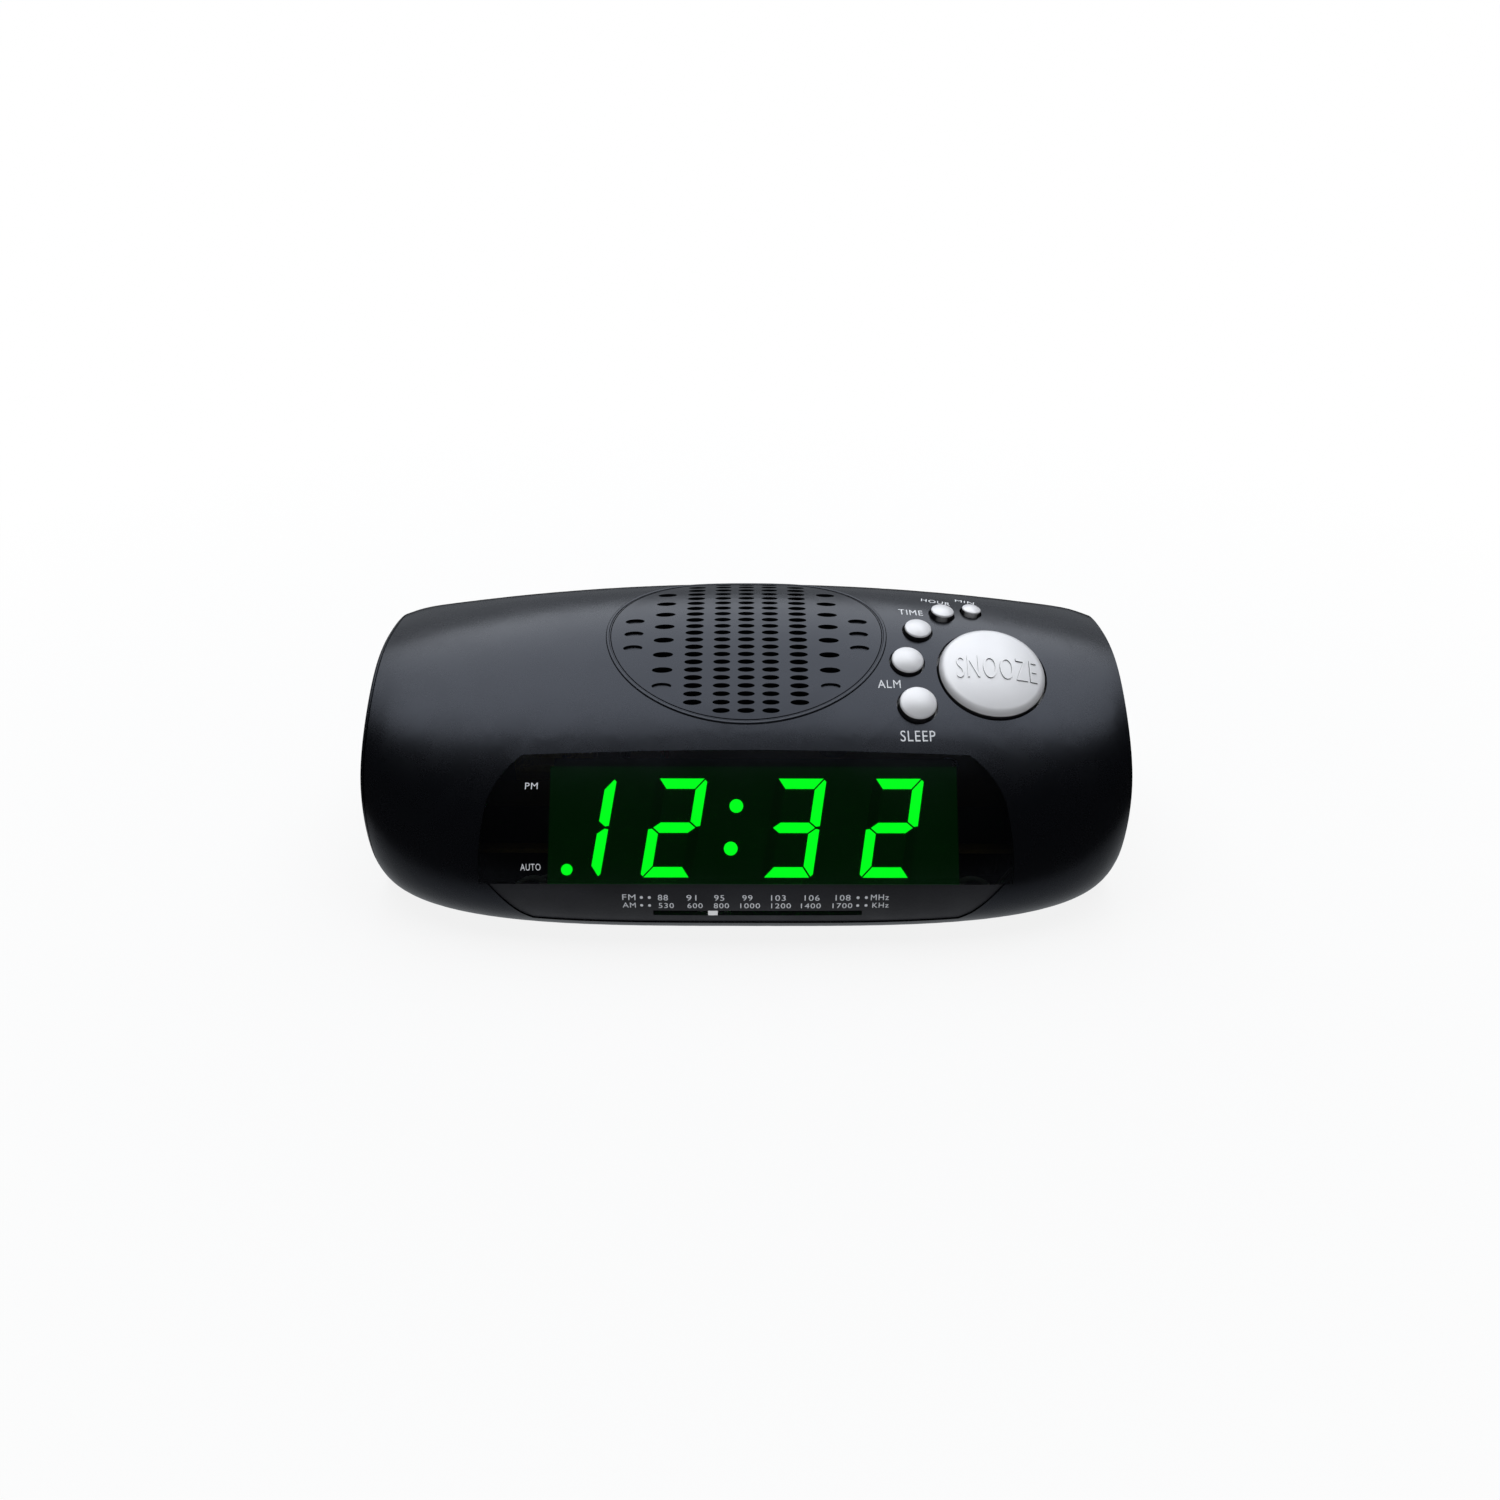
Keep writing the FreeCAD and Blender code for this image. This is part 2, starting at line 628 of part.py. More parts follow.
def make_speaker_grille():
    """Oval insert with through holes in the middle and blind dimples at its rim."""
    thickness = dim("grille_thickness")
    insert = OUTER.cut(housing_solid(thickness, BASE)).common(grille_prism(0, 40, 90))
    rows = grille_rows()
    long, high = dim("hole_length"), dim("hole_height")
    cutters = []
    for column, numbers, longer, taller in HOLE_COLUMNS:
        for x in {column, -column}:
            for number in numbers:
                cutters.append(oval_tool(x, rows[number], long * longer, high * taller, 45, 80))
    below = housing_solid(0.8, BASE)
    blind = []
    for x, number in DIMPLES:
        for side in (-1, 1):
            blind.append(oval_tool(side * x, rows[number], long * 1.15, high * 1.3, 45, 80))
    dimples = Part.makeCompound(blind).cut(below)
    insert = insert.cut(cutters).cut(dimples)
    slope = SPEAKER.Rotation.multVec(Vector(0, 0, 1))
    roots = []
    for x, y in SPEAKER_POSTS:
        spot = SPEAKER.multVec(Vector(x, y, FLANGE_UNDER))
        roots.append(cylinder(spot, slope, 2.4, 20).common(housing_solid(thickness / 2, BASE)))
    insert = insert.multiFuse(roots)
    pilots = [cylinder(SPEAKER.multVec(Vector(x, y, FLANGE_UNDER - 0.5)), slope, 0.8, 4.6)
              for x, y in SPEAKER_POSTS]
    return insert.cut(pilots)


def end_plate(x0, x1, face):
    return face.common(slab(x0, x1))


def rounded_rim(plate, x_plane, radius):
    """Round the outer edge of an end plate."""
    edges = []
    for edge in plate.Edges:
        box = edge.BoundBox
        if abs(box.XMin - x_plane) < 0.02 and abs(box.XMax - x_plane) < 0.02 and box.ZMax > 10:
            edges.append(edge)
    try:
        rounded = plate.makeFillet(radius, edges)
        return rounded if rounded.isValid() else plate
    except Part.OCCError:
        return plate


def make_end_cap_left():
    """Full-size rim plate, a narrower neck that forms the seam, and a plug in the barrel."""
    rim_in = -HALF + dim("cap_rim")
    neck_in = barrel_end_left()
    plug_in = -HALF + dim("cap_rim") + dim("cap_plug")
    cap = rounded_rim(end_plate(-HALF, rim_in, OUTER), -HALF, 0.8)
    cap = cap.fuse(end_plate(rim_in, neck_in, RIM_FACE)).fuse(end_plate(neck_in, plug_in, PLUG_FACE))
    wheel_low = dim("volume_z") - 0.6
    cuts = [
        wheel_slot(VOLUME, dim("volume_radius"), -1, wheel_low, wheel_low + 5.7),
        Part.makeBox(14, 17.6, 3.2, Vector(-HALF - 6, FUNCTION_SWITCH.y - 8.8, FUNCTION_SWITCH.z - 1.6)),
    ]
    return cap.cut(cuts)


def make_end_cap_right():
    """Plain plate set flush inside the barrel."""
    cap = end_plate(HALF - dim("cap_plug"), HALF, PLUG_FACE)
    cuts = [
        wheel_slot(WHEEL, dim("wheel_radius"), 1, 5.4, 10.2),
        Part.makeBox(14, 13.6, 3.2, Vector(HALF - 6, BAND_SWITCH.y - 6.8, BAND_SWITCH.z - 1.6)),
    ]
    return cap.cut(cuts)


def make_bottom_cover():
    """Flat base inside the shell's foot, with board posts, cord posts and the cell cup."""
    top = BASE + dim("cover_thickness")
    up = Vector(0, 0, 1)
    room = housing_solid(WALL + GAP, BASE)
    plate = room.common(
        Part.makeBox(2 * (HALF - dim("cap_plug") - dim("cap_rim") - 0.3), REACH, dim("cover_thickness"),
                     Vector(-HALF + dim("cap_plug") + dim("cap_rim") + 0.3, -REACH / 2, BASE)))
    board_z = dim("main_board_z")
    added = [cylinder(Vector(x, y, top), up, 3.2, board_z - top) for x, y in BOARD_SCREWS]
    for x in (dim("pulley_left_x"), dim("pulley_right_x")):
        added.append(cylinder(Vector(x, dim("pulley_y"), top), up, 3.0, PULLEY_LOW - 0.1 - top))
    added.append(cylinder(CELL + Vector(0, 0, top), up, CUP_RADIUS + 1.4, CUP_TOP - top))
    added += [cylinder(Vector(x, y, top), up, 3.0, EAR_Z - top) for x, y in TRANSFORMER_FEET]
    for x in RAIL_POSTS:
        added.append(Part.makeBox(3.0, 4.0, RAIL_Z - top, Vector(x - 1.5, RAIL_Y - 2.0, top)))
    plate = plate.multiFuse([item.common(room) for item in added])
    cuts = [cylinder(CELL + Vector(0, 0, BASE - 1), up, DOOR_RADIUS + 0.15, 8)]
    cuts.append(cylinder(CELL + Vector(0, 0, top), up, CUP_RADIUS, CUP_TOP - 1.2 - top))
    for angle in TAB_ANGLES:
        notch = Part.makeBox(6.0, 6.4, 8, Vector(DOOR_RADIUS - 4, -3.2, BASE - 1))
        notch.rotate(Vector(0, 0, 0), up, angle + TAB_TURN)
        notch.translate(CELL)
        cuts.append(notch.common(cylinder(CELL + Vector(0, 0, BASE - 1), up, DOOR_RADIUS + 2.2, 9)))
    for x, y in SHELL_SCREWS:
        cuts.append(cylinder(Vector(x, y, BASE - 1), up, 1.6, 6))
        cuts.append(cylinder(Vector(x, y, BASE - 1), up, 3.0, 2.3))
    for x, y in BOARD_SCREWS:
        cuts.append(cylinder(Vector(x, y, board_z - 8), up, 0.9, 9))
    cuts += [cylinder(Vector(x, y, EAR_Z - 7.1), up, 0.9, 8) for x, y in TRANSFORMER_FEET]
    for x, y in FEET:
        cuts.append(cylinder(Vector(x, y, BASE - 1), up, 5.1, 1.5))
    for x in (dim("pulley_left_x"), dim("pulley_right_x")):
        cuts.append(cylinder(Vector(x, dim("pulley_y"), PIN_FOOT), up, dim("pin_radius"), 12))
    for x in BASE_VENTS:
        cuts.append(Part.makeBox(2.2, 30, 4, Vector(x, -12, BASE - 1)))
    return plate.cut(cuts)


feature_node("main_shell", make_main_shell())
feature_node("display_lens", make_display_lens())
feature_node("dial_strip", make_dial_strip())
feature_node("speaker_grille", make_speaker_grille())
feature_node("end_cap_left", make_end_cap_left())
feature_node("end_cap_right", make_end_cap_right())
feature_node("bottom_cover", make_bottom_cover())


# ---------------------------------------------------------------- underside
door = new_body("battery_door", Placement(CELL, Rotation()))
posts(door, [(0, 0)], "dims.door_radius", "dims.base_z", "dims.base_z + 1.9")
posts(door, [(0, 0)], "dims.door_radius - 0.6", "dims.base_z + 1.9", "dims.base_z + 3.2")
tab_outline = new_sketch(door, "XY_Plane", "dims.base_z + 2.35")
add_outline(tab_outline, box_corners("-(dims.door_radius + 1.8)", -2.7, "dims.door_radius + 1.8", 2.7))
pad(door, tab_outline, 0.85)
coin_slot = new_sketch(door, "XY_Plane", "dims.base_z")
add_outline(coin_slot, box_corners(-7.5, -0.9, 7.5, 0.9))
pocket(door, coin_slot, 0.8, reverse=True)

cell = new_body("backup_cell", Placement(CELL + Vector(0, 0, 5.0), Rotation()))
revolve(cell, [(0, 0), (8.6, 0), (8.6, 0.5), ("dims.cell_radius", 0.5),
               ("dims.cell_radius", "dims.cell_height"), (0, "dims.cell_height")])

contact = new_body("cell_contact", Placement(CELL + Vector(0, 0, 8.25), Rotation()))
block(contact, -12.0, -3.0, 0.0, 12.0, 3.0, 0.4)

feet = new_body("rubber_feet")
posts(feet, FEET, 5.0, 0.0, "dims.base_z + 0.5")


def screw(head_radius, head_height, shank_radius, length):
    """Screw along +Z from its head's underside at 0, with a cross recess in the head."""
    head = Part.makeCylinder(head_radius, head_height, Vector(0, 0, -head_height))
    shank = Part.makeCylinder(shank_radius, length - 1.0)
    tip = Part.makeCone(shank_radius, shank_radius * 0.4, 1.0, Vector(0, 0, length - 1.0))
    solid = head.multiFuse([shank, tip]).removeSplitter()
    wide, deep = head_radius * 1.2, head_height * 0.55
    slots = [Part.makeBox(wide, 0.6, deep, Vector(-wide / 2, -0.3, -head_height)),
             Part.makeBox(0.6, wide, deep, Vector(-0.3, -wide / 2, -head_height))]
    return solid.cut(slots)


def screws(label, seats, head_radius, head_height, shank_radius, length):
    """One node holding a screw at each (point, direction)."""
    made = []
    for point, direction in seats:
        item = screw(head_radius, head_height, shank_radius, length)
        item.Placement = frame_at(point, direction)
        made.append(item)
    return feature_node(label, Part.makeCompound(made))


UP = Vector(0, 0, 1)
DOWN = Vector(0, 0, -1)
BOARD_TOP = dim("main_board_z") + dim("board_thickness")
screws("housing_screws", [(Vector(x, y, BASE + 1.3), UP) for x, y in SHELL_SCREWS], 2.8, 1.1, 1.1, 12.0)
board_seats = [(Vector(x, y, BOARD_TOP), DOWN) for x, y in BOARD_SCREWS]
ear_seats = [(Vector(x, y, EAR_Z + 1.2), DOWN) for x, y in TRANSFORMER_FEET]
screws("board_screws", board_seats + ear_seats, 2.4, 1.4, 0.85, 8.0)

# ---------------------------------------------------------------- buttons
TACT_HEIGHT = 4.3
SHOULDER = 0.12                     # width of a button's rounded shoulder as a share of its radius


def dome_bulge(radius, crown):
    """How far a dome's arc stands off its chord when the dome is level in the middle."""
    ball = (radius ** 2 + crown ** 2) / (2 * crown)
    half_chord = math.hypot(radius, crown) / 2
    return ball - math.sqrt(ball ** 2 - half_chord ** 2)


def make_button(name):
    """Domed cap with a rounded shoulder, a retaining flange under the housing and a stem."""
    radius_alias, edge, crown, flange = BUTTONS[name][2:]
    body = new_body(name, frame_at(*SEATS[name]))
    radius = "dims." + radius_alias
    foot = -(switch_depth(name) - TACT_HEIGHT - dim("button_travel") - 0.2)
    shoulder = SHOULDER * dim(radius_alias)
    fall = crown * (1 - SHOULDER) ** 2      # how far the dome falls before its shoulder starts
    chord = math.hypot(shoulder, shoulder + crown - fall)
    revolve(body, [
        (0, foot), (1.6, foot), (1.6, -flange - 1.0), (radius + " + 1.2", -flange - 1.0),
        (radius + " + 1.2", -flange), (radius, -flange), (radius, edge - shoulder),
        (radius + " * %s" % (1 - SHOULDER), edge + crown - fall, 0.18 * chord),
        (0, edge + crown, dome_bulge(dim(radius_alias) * (1 - SHOULDER), fall)),
    ])
    return body


for button in BUTTONS:
    make_button(button)


def tact_switch(place):
    """Square switch with a metal-look frame and a round plunger, standing on its board."""
    case = Part.makeBox(6.0, 6.0, 3.5, Vector(-3.0, -3.0, 0))
    plunger = Part.makeCylinder(1.7, TACT_HEIGHT - 3.4, Vector(0, 0, 3.4))
    solid = case.fuse(plunger).removeSplitter()
    solid.Placement = place
    return solid


def button_foot(name):
    """Where a button's axis meets the top of its board."""
    point, normal = SEATS[name]
    return point - normal * switch_depth(name)


feature_node("tact_switches", Part.makeCompound(
    [tact_switch(frame_at(button_foot(name), button_board(name)[1])) for name in BUTTONS]))


def make_button_board(label, anchor, corners):
    """Tilted board under a group of buttons."""
    point, normal = button_board(anchor)
    body = new_body(label, frame_at(point, normal))
    outline = add_outline(new_sketch(body, "XY_Plane", "-dims.board_thickness"), corners)
    pad(body, outline, "dims.board_thickness")
    holes(body, BOARD_POSTS[anchor], 1.0, "-dims.board_thickness", 0)
    return body


make_button_board("front_button_board", "snooze_button",
                  [(-37.5, -14.5), (21.0, -14.5), (21.0, 6.4), (-37.5, 6.4)])
make_button_board("rear_button_board", "hour_button",
                  [(-20.5, -13.5), (-3.0, -13.5), (-3.0, -4.0), (22.0, -4.0), (22.0, 9.0),
                   (-20.5, 9.0)])
small_seats = []
for anchor, places in BOARD_POSTS.items():
    point, normal = button_board(anchor)
    for x, y in places:
        back = point + board_vector(normal, x, y) - normal * dim("board_thickness")
        small_seats.append((back, normal))

# ---------------------------------------------------------------- tuning drive
wheel = new_body("tuning_wheel", Placement(WHEEL, Rotation()))
revolve(wheel, [
    (3.0, "dims.wheel_low"), ("dims.wheel_radius", "dims.wheel_low"),
    ("dims.wheel_radius", "dims.wheel_high"), ("dims.drum_radius + 1.2", "dims.wheel_high"),
    ("dims.drum_radius + 1.2", "dims.cord_z - 0.8"), ("dims.drum_radius", "dims.cord_z - 0.6"),
    ("dims.drum_radius", "dims.cord_z + 0.6"), ("dims.drum_radius + 1.2", "dims.cord_z + 0.8"),
    ("dims.drum_radius + 1.2", "dims.cord_z + 1.4"), (3.0, "dims.cord_z + 1.4"),
])
grip = new_sketch(wheel, "XY_Plane", "dims.wheel_low")
add_circle(grip, "dims.wheel_radius + 0.3", 0, 0.9)
grip_cut = pocket(wheel, grip, "dims.wheel_high - dims.wheel_low", reverse=True)
knurl = wheel.newObject("PartDesign::PolarPattern", "wheel_knurl")
knurl.Originals = [grip_cut]
knurl.Axis = (grip, ["N_Axis"])
knurl.Angle = 360.0
knurl.Occurrences = 60
wheel.Tip = knurl
doc.recompute()

tuning_shaft = new_body("tuning_shaft", Placement(WHEEL, Rotation()))
posts(tuning_shaft, [(0, 0)], 3.0, "dims.wheel_low + 0.4", "dims.main_board_z + 7")

capacitor = new_body("tuning_capacitor", Placement(WHEEL, Rotation()))
block(capacitor, -10.5, -10.5, "dims.main_board_z + dims.board_thickness", 10.5, 10.5,
      "dims.main_board_z + 13")
holes(capacitor, [(0, 0)], "3.0 + dims.running_clearance", "dims.main_board_z + dims.board_thickness",
      "dims.main_board_z + 7.2")

for side in ("left", "right"):
    pulley = new_body("cord_pulley_" + side, Placement(
        Vector(dim("pulley_%s_x" % side), dim("pulley_y"), 0), Rotation()))
    flange = "dims.pulley_radius + 1.2"
    revolve(pulley, [
        ("dims.pin_radius + dims.running_clearance", PULLEY_LOW), (flange, PULLEY_LOW),
        (flange, "dims.cord_z - 0.8"), ("dims.pulley_radius", "dims.cord_z - 0.6"),
        ("dims.pulley_radius", "dims.cord_z + 0.6"), (flange, "dims.cord_z + 0.8"),
        (flange, PULLEY_HIGH), ("dims.pin_radius + dims.running_clearance", PULLEY_HIGH),
    ])

pins = new_body("pulley_pins")
posts(pins, [("dims.pulley_left_x", "dims.pulley_y"), ("dims.pulley_right_x", "dims.pulley_y")],
      "dims.pin_radius", PIN_FOOT, PULLEY_HIGH + 0.1)
posts(pins, [("dims.pulley_left_x", "dims.pulley_y"), ("dims.pulley_right_x", "dims.pulley_y")],
      2.4, PULLEY_HIGH + 0.1, PULLEY_HIGH + 0.7)

rail = new_body("pointer_rail")
block(rail, RAIL_POSTS[0] - 1.5, RAIL_Y - 1.0, RAIL_Z, RAIL_POSTS[1] + 1.5, RAIL_Y + 1.0, RAIL_Z + 2.0)

pointer = new_body("dial_pointer", Placement(Vector(POINTER_X, 0, 0), Rotation()))
carriage = new_sketch(pointer, "YZ_Plane", -5.0)
add_outline(carriage, [(-48.0, 6.0), (-43.6, 6.0), (-43.6, 10.2), (-45.2, 10.2), (-45.2, 13.1),
                       (-50.2, 13.1), (-50.2, 10.2), (-48.0, 10.2)])
pad(pointer, carriage, 10.0)
block(pointer, -1.4, -54.95, "dims.slot_z - 0.9", 1.4, -49.0, "dims.slot_z + 0.9")
rail_hole = new_sketch(pointer, "YZ_Plane", -5.0)
add_outline(rail_hole, box_corners(RAIL_Y - 1.06, RAIL_Z - 0.06, RAIL_Y + 1.06, RAIL_Z + 2.06))
pocket(pointer, rail_hole, 10.0, reverse=True)
cord_hole = new_sketch(pointer, "YZ_Plane", -5.0)
add_circle(cord_hole, "dims.pulley_y - dims.pulley_radius - dims.cord_radius - 0.05", "dims.cord_z", 0.55)
pocket(pointer, cord_hole, 10.0, reverse=True)


def belt_path(circles):
    """Closed loop of arcs and tangent lines round circles listed counter-clockwise."""
    count = len(circles)
    legs = []
    for i in range(count):
        (c0, r0), (c1, r1) = circles[i], circles[(i + 1) % count]
        along = (c1 - c0)
        length = along.Length
        along = along * (1 / length)
        outward = Vector(along.y, -along.x, 0)
        lean = (r0 - r1) / length
        ray = outward * math.sqrt(1 - lean ** 2) + along * lean
        legs.append((c0 + ray * r0, c1 + ray * r1))
    edges = []
    for i in range(count):
        centre, radius = circles[i]
        arrive, leave = legs[i - 1][1], legs[i][0]
        bisector = (arrive - centre) + (leave - centre)
        turn = (arrive - centre).cross(leave - centre).z
        if turn < 0:
            bisector = bisector * -1
        middle = centre + bisector.normalize() * radius
        edges.append(Part.Arc(arrive, middle, leave).toShape())
        edges.append(Part.makeLine(leave, legs[i][1]))
    return Part.Wire(edges)


def tube_along(path, radius, start, direction):
    """Round cord swept along a wire."""
    ring = Part.Wire(Part.Circle(start, direction, radius).toShape())
    return path.makePipeShell([ring], True, True)


def make_dial_cord():
    height = Vector(0, 0, dim("cord_z"))
    groove = dim("pulley_radius") + dim("cord_radius") + 0.05
    drum = dim("drum_radius") + dim("cord_radius") + 0.05
    circles = [
        (Vector(dim("pulley_left_x"), dim("pulley_y"), 0) + height, groove),
        (Vector(dim("pulley_right_x"), dim("pulley_y"), 0) + height, groove),
        (WHEEL + height, drum),
    ]
    path = belt_path(circles)
    start = path.Edges[0].valueAt(path.Edges[0].FirstParameter)
    direction = path.Edges[0].tangentAt(path.Edges[0].FirstParameter)
    return tube_along(path, dim("cord_radius"), start, direction)


feature_node("dial_cord", make_dial_cord())

# ---------------------------------------------------------------- volume and slide switches
volume_wheel = new_body("volume_wheel", Placement(VOLUME, Rotation()))
revolve(volume_wheel, [
    (3.0, "dims.volume_z"), ("dims.volume_radius - 0.5", "dims.volume_z"),
    ("dims.volume_radius", "dims.volume_z + 0.5"), ("dims.volume_radius", "dims.volume_z + 4"),
    ("dims.volume_radius - 0.5", "dims.volume_z + 4.5"), (3.0, "dims.volume_z + 4.5"),
])
volume_grip = new_sketch(volume_wheel, "XY_Plane", "dims.volume_z - 0.5")
add_circle(volume_grip, "dims.volume_radius + 0.3", 0, 0.9)
volume_cut = pocket(volume_wheel, volume_grip, 6.0, reverse=True)
volume_knurl = volume_wheel.newObject("PartDesign::PolarPattern", "volume_knurl")
volume_knurl.Originals = [volume_cut]
volume_knurl.Axis = (volume_grip, ["N_Axis"])
volume_knurl.Angle = 360.0
volume_knurl.Occurrences = 36
volume_wheel.Tip = volume_knurl
doc.recompute()

volume_shaft = new_body("volume_shaft", Placement(VOLUME, Rotation()))
posts(volume_shaft, [(0, 0)], 3.0, "dims.main_board_z + 2.6", "dims.volume_z + 4.5")

potentiometer = new_body("volume_control", Placement(VOLUME, Rotation()))
posts(potentiometer, [(0, 0)], 8.0, BOARD_TOP, BOARD_TOP + 5.5)
block(potentiometer, 2.0, -6.0, BOARD_TOP, 11.0, 6.0, BOARD_TOP + 2.0)
holes(potentiometer, [(0, 0)], "3.0 + dims.running_clearance", BOARD_TOP + 0.9, BOARD_TOP + 6.0)


def make_slide_switch(label, seat, side):
    """Switch case on the main board, open towards the end cap."""
    body = new_body(label, Placement(Vector(seat.x, seat.y, 0), Rotation()))
    block(body, -4.0, -9.5, BOARD_TOP, 4.0, 9.5, seat.z + 3.4)
    mouth = new_sketch(body, "XY_Plane", seat.z - 1.35)
    near, far = sorted((side * 1.5, side * 5.0))
    add_outline(mouth, box_corners(near, -8.7, far, 8.7))
    pocket(body, mouth, 2.7, reverse=True)
    return body


def make_slider(label, seat, side, half):
    """Sliding key: a stem from inside the switch, through the end cap, to a finger rib."""
    body = new_body(label, Placement(Vector(seat.x, seat.y, 0), Rotation()))
    out = HALF + 2.2 - abs(seat.x)
    near, far = sorted((side * 1.7, side * out))
    block(body, near, -half, seat.z - 1.2, far, half, seat.z + 1.2)
    return body


make_slide_switch("function_switch", FUNCTION_SWITCH, -1)
make_slider("function_slider", FUNCTION_SWITCH, -1, 4.0)
make_slide_switch("band_switch", BAND_SWITCH, 1)
make_slider("band_slider", BAND_SWITCH, 1, 4.0)

# ---------------------------------------------------------------- boards and display
main_board = new_body("main_board")
notch_left, notch_right, notch_front = -88.0, -40.0, 5.0
board_outline = new_sketch(main_board, "XY_Plane", "dims.main_board_z")
add_outline(board_outline, [
    ("dims.main_board_left", "dims.main_board_front"), ("dims.main_board_right", "dims.main_board_front"),
    ("dims.main_board_right", "dims.main_board_back"), (notch_right, "dims.main_board_back"),
    (notch_right, notch_front), (notch_left, notch_front), (notch_left, "dims.main_board_back"),
    ("dims.main_board_left", "dims.main_board_back"),
])
pad(main_board, board_outline, "dims.board_thickness")
holes(main_board, BOARD_SCREWS, 1.1, "dims.main_board_z", "dims.main_board_z + dims.board_thickness")
holes(main_board, [("dims.wheel_x", "dims.wheel_y")], 4.0, "dims.main_board_z",
      "dims.main_board_z + dims.board_thickness")

LED_PLACE = Placement(LED_PLANE, LED_TURN)
DIGIT_X = [-47.8, -21.0, 14.1, 42.8]
SLANT = math.tan(math.radians(8.7))
LED_MIDDLE_X = 2.2
DIGIT_MIDDLE = 0.5
SEGMENT_GAP = 0.35
DIGIT_SEGMENTS = {"1": "bc", "2": "abged", "3": "abgcd"}
SHOWN = "1232"
COLON = [(-2.8, 6.9), (-4.4, -5.6)]
MARK = (-52.2, -11.8)


def segment_corners(letter):
    """Corners of one bar of an upright digit centred on the origin, with mitred ends."""
    wide, high = dim("digit_width") / 2, dim("digit_height") / 2
    bar = dim("stroke")
    cut = SEGMENT_GAP
    if letter in "ad":
        outer = high if letter == "a" else -high
        inner = outer - math.copysign(bar, outer)
        return [(-wide + cut + 0.6, outer), (wide - cut - 0.6, outer),
                (wide - bar - cut, inner), (-wide + bar + cut, inner)]
    if letter == "g":
        half = bar / 2
        return [(-wide + bar * 0.35 + cut, 0), (-wide + bar + cut, half), (wide - bar - cut, half),
                (wide - bar * 0.35 - cut, 0), (wide - bar - cut, -half), (-wide + bar + cut, -half)]
    side = 1 if letter in "bc" else -1
    level = 1 if letter in "bf" else -1
    points = [(wide, high - 0.6 - cut), (wide, cut + 0.2), (wide - bar * 0.35, cut),
              (wide - bar, bar / 2 + cut), (wide - bar, high - bar - cut), (wide - 0.6, high - cut)]
    return [(side * px, level * py) for px, py in points]


def leaning(points, middle_x):
    """Place upright digit points on the display face, slanted to the right."""
    return [Vector(middle_x + x + y * SLANT, y + DIGIT_MIDDLE, 0) for x, y in points]


def bar_solid(points, depth, rise):
    wire = Part.makePolygon(points + points[:1])
    solid = Part.Face(wire).extrude(Vector(0, 0, depth + rise))
    solid.translate(Vector(0, 0, -depth))
    return solid


def display_bars(lit):
    """Bars of all four digits that are lit, or those that are not."""
    made = []
    for middle_x, shown in zip(DIGIT_X, SHOWN):
        letters = "bc" if shown == "1" and middle_x == DIGIT_X[0] else "abcdefg"
        for letter in letters:
            if (letter in DIGIT_SEGMENTS[shown]) == lit:
                made.append(bar_solid(leaning(segment_corners(letter), middle_x),
                                      LIGHT_PIPE, dim("segment_rise")))
    if lit:
        for (x, y), radius in zip(COLON + [MARK], (2.0, 2.0, 1.65)):
            made.append(Part.makeCylinder(radius, LIGHT_PIPE + dim("segment_rise"),
                                          Vector(x, y, -LIGHT_PIPE)))
    return made


LIGHT_PIPE = 1.2


def in_display(shapes):
    joined = Part.makeCompound(shapes)
    joined.Placement = LED_PLACE
    return joined


lit_bars = display_bars(True)
dark_bars = display_bars(False)
led_case = Part.makeBox(dim("led_width"), dim("led_height"), dim("led_depth"),
                        Vector(LED_MIDDLE_X - dim("led_width") / 2, -dim("led_height") / 2 + 1.1,
                               -dim("led_depth")))
feature_node("led_display", in_display([led_case.cut(lit_bars + dark_bars)]))
feature_node("lit_segments", in_display(lit_bars))
feature_node("dark_segments", in_display(dark_bars))

display_board = new_body("display_board", LED_PLACE)
ear = 81.8
led_left, led_right = LED_MIDDLE_X - dim("led_width") / 2, LED_MIDDLE_X + dim("led_width") / 2
display_outline = new_sketch(display_board, "XY_Plane", "-(dims.led_depth + dims.board_thickness)")
add_outline(display_outline, [
    (led_left, -16.4), (led_right, -16.4), (led_right, -3.5), (ear, -3.5), (ear, 7.5), (led_right, 7.5),
    (led_right, 22.0), (led_left, 22.0), (led_left, 7.5), (-ear, 7.5), (-ear, -3.5), (led_left, -3.5)])
pad(display_board, display_outline, "dims.board_thickness")
holes(display_board, DISPLAY_POSTS, 1.0, "-(dims.led_depth + dims.board_thickness)", "-dims.led_depth")
display_normal = LED_TURN.multVec(Vector(0, 0, 1))
display_back = -(dim("led_depth") + dim("board_thickness"))
small_seats += [(LED_PLACE.multVec(Vector(x, y, display_back)), display_normal)
                for x, y in DISPLAY_POSTS]

# ---------------------------------------------------------------- speaker
speaker_frame = new_body("speaker_frame", SPEAKER)
revolve(speaker_frame, [
    ("dims.speaker_radius", 0), (24.5, 0), (23.6, -2.6), (14.6, -9.2), (7.4, -9.2), (7.4, -10.4),
    (15.0, -10.4), (24.6, -3.2), (25.3, FLANGE_UNDER), ("dims.speaker_radius", FLANGE_UNDER),
])

magnet = new_body("speaker_magnet", SPEAKER)
revolve(magnet, [
    (0, "-dims.speaker_depth"), ("dims.magnet_radius", "-dims.speaker_depth"),
    ("dims.magnet_radius", -10.4), (7.4, -10.4), (7.4, -15.2), (5.9, -15.2), (5.9, -9.4), (0, -9.4),
])

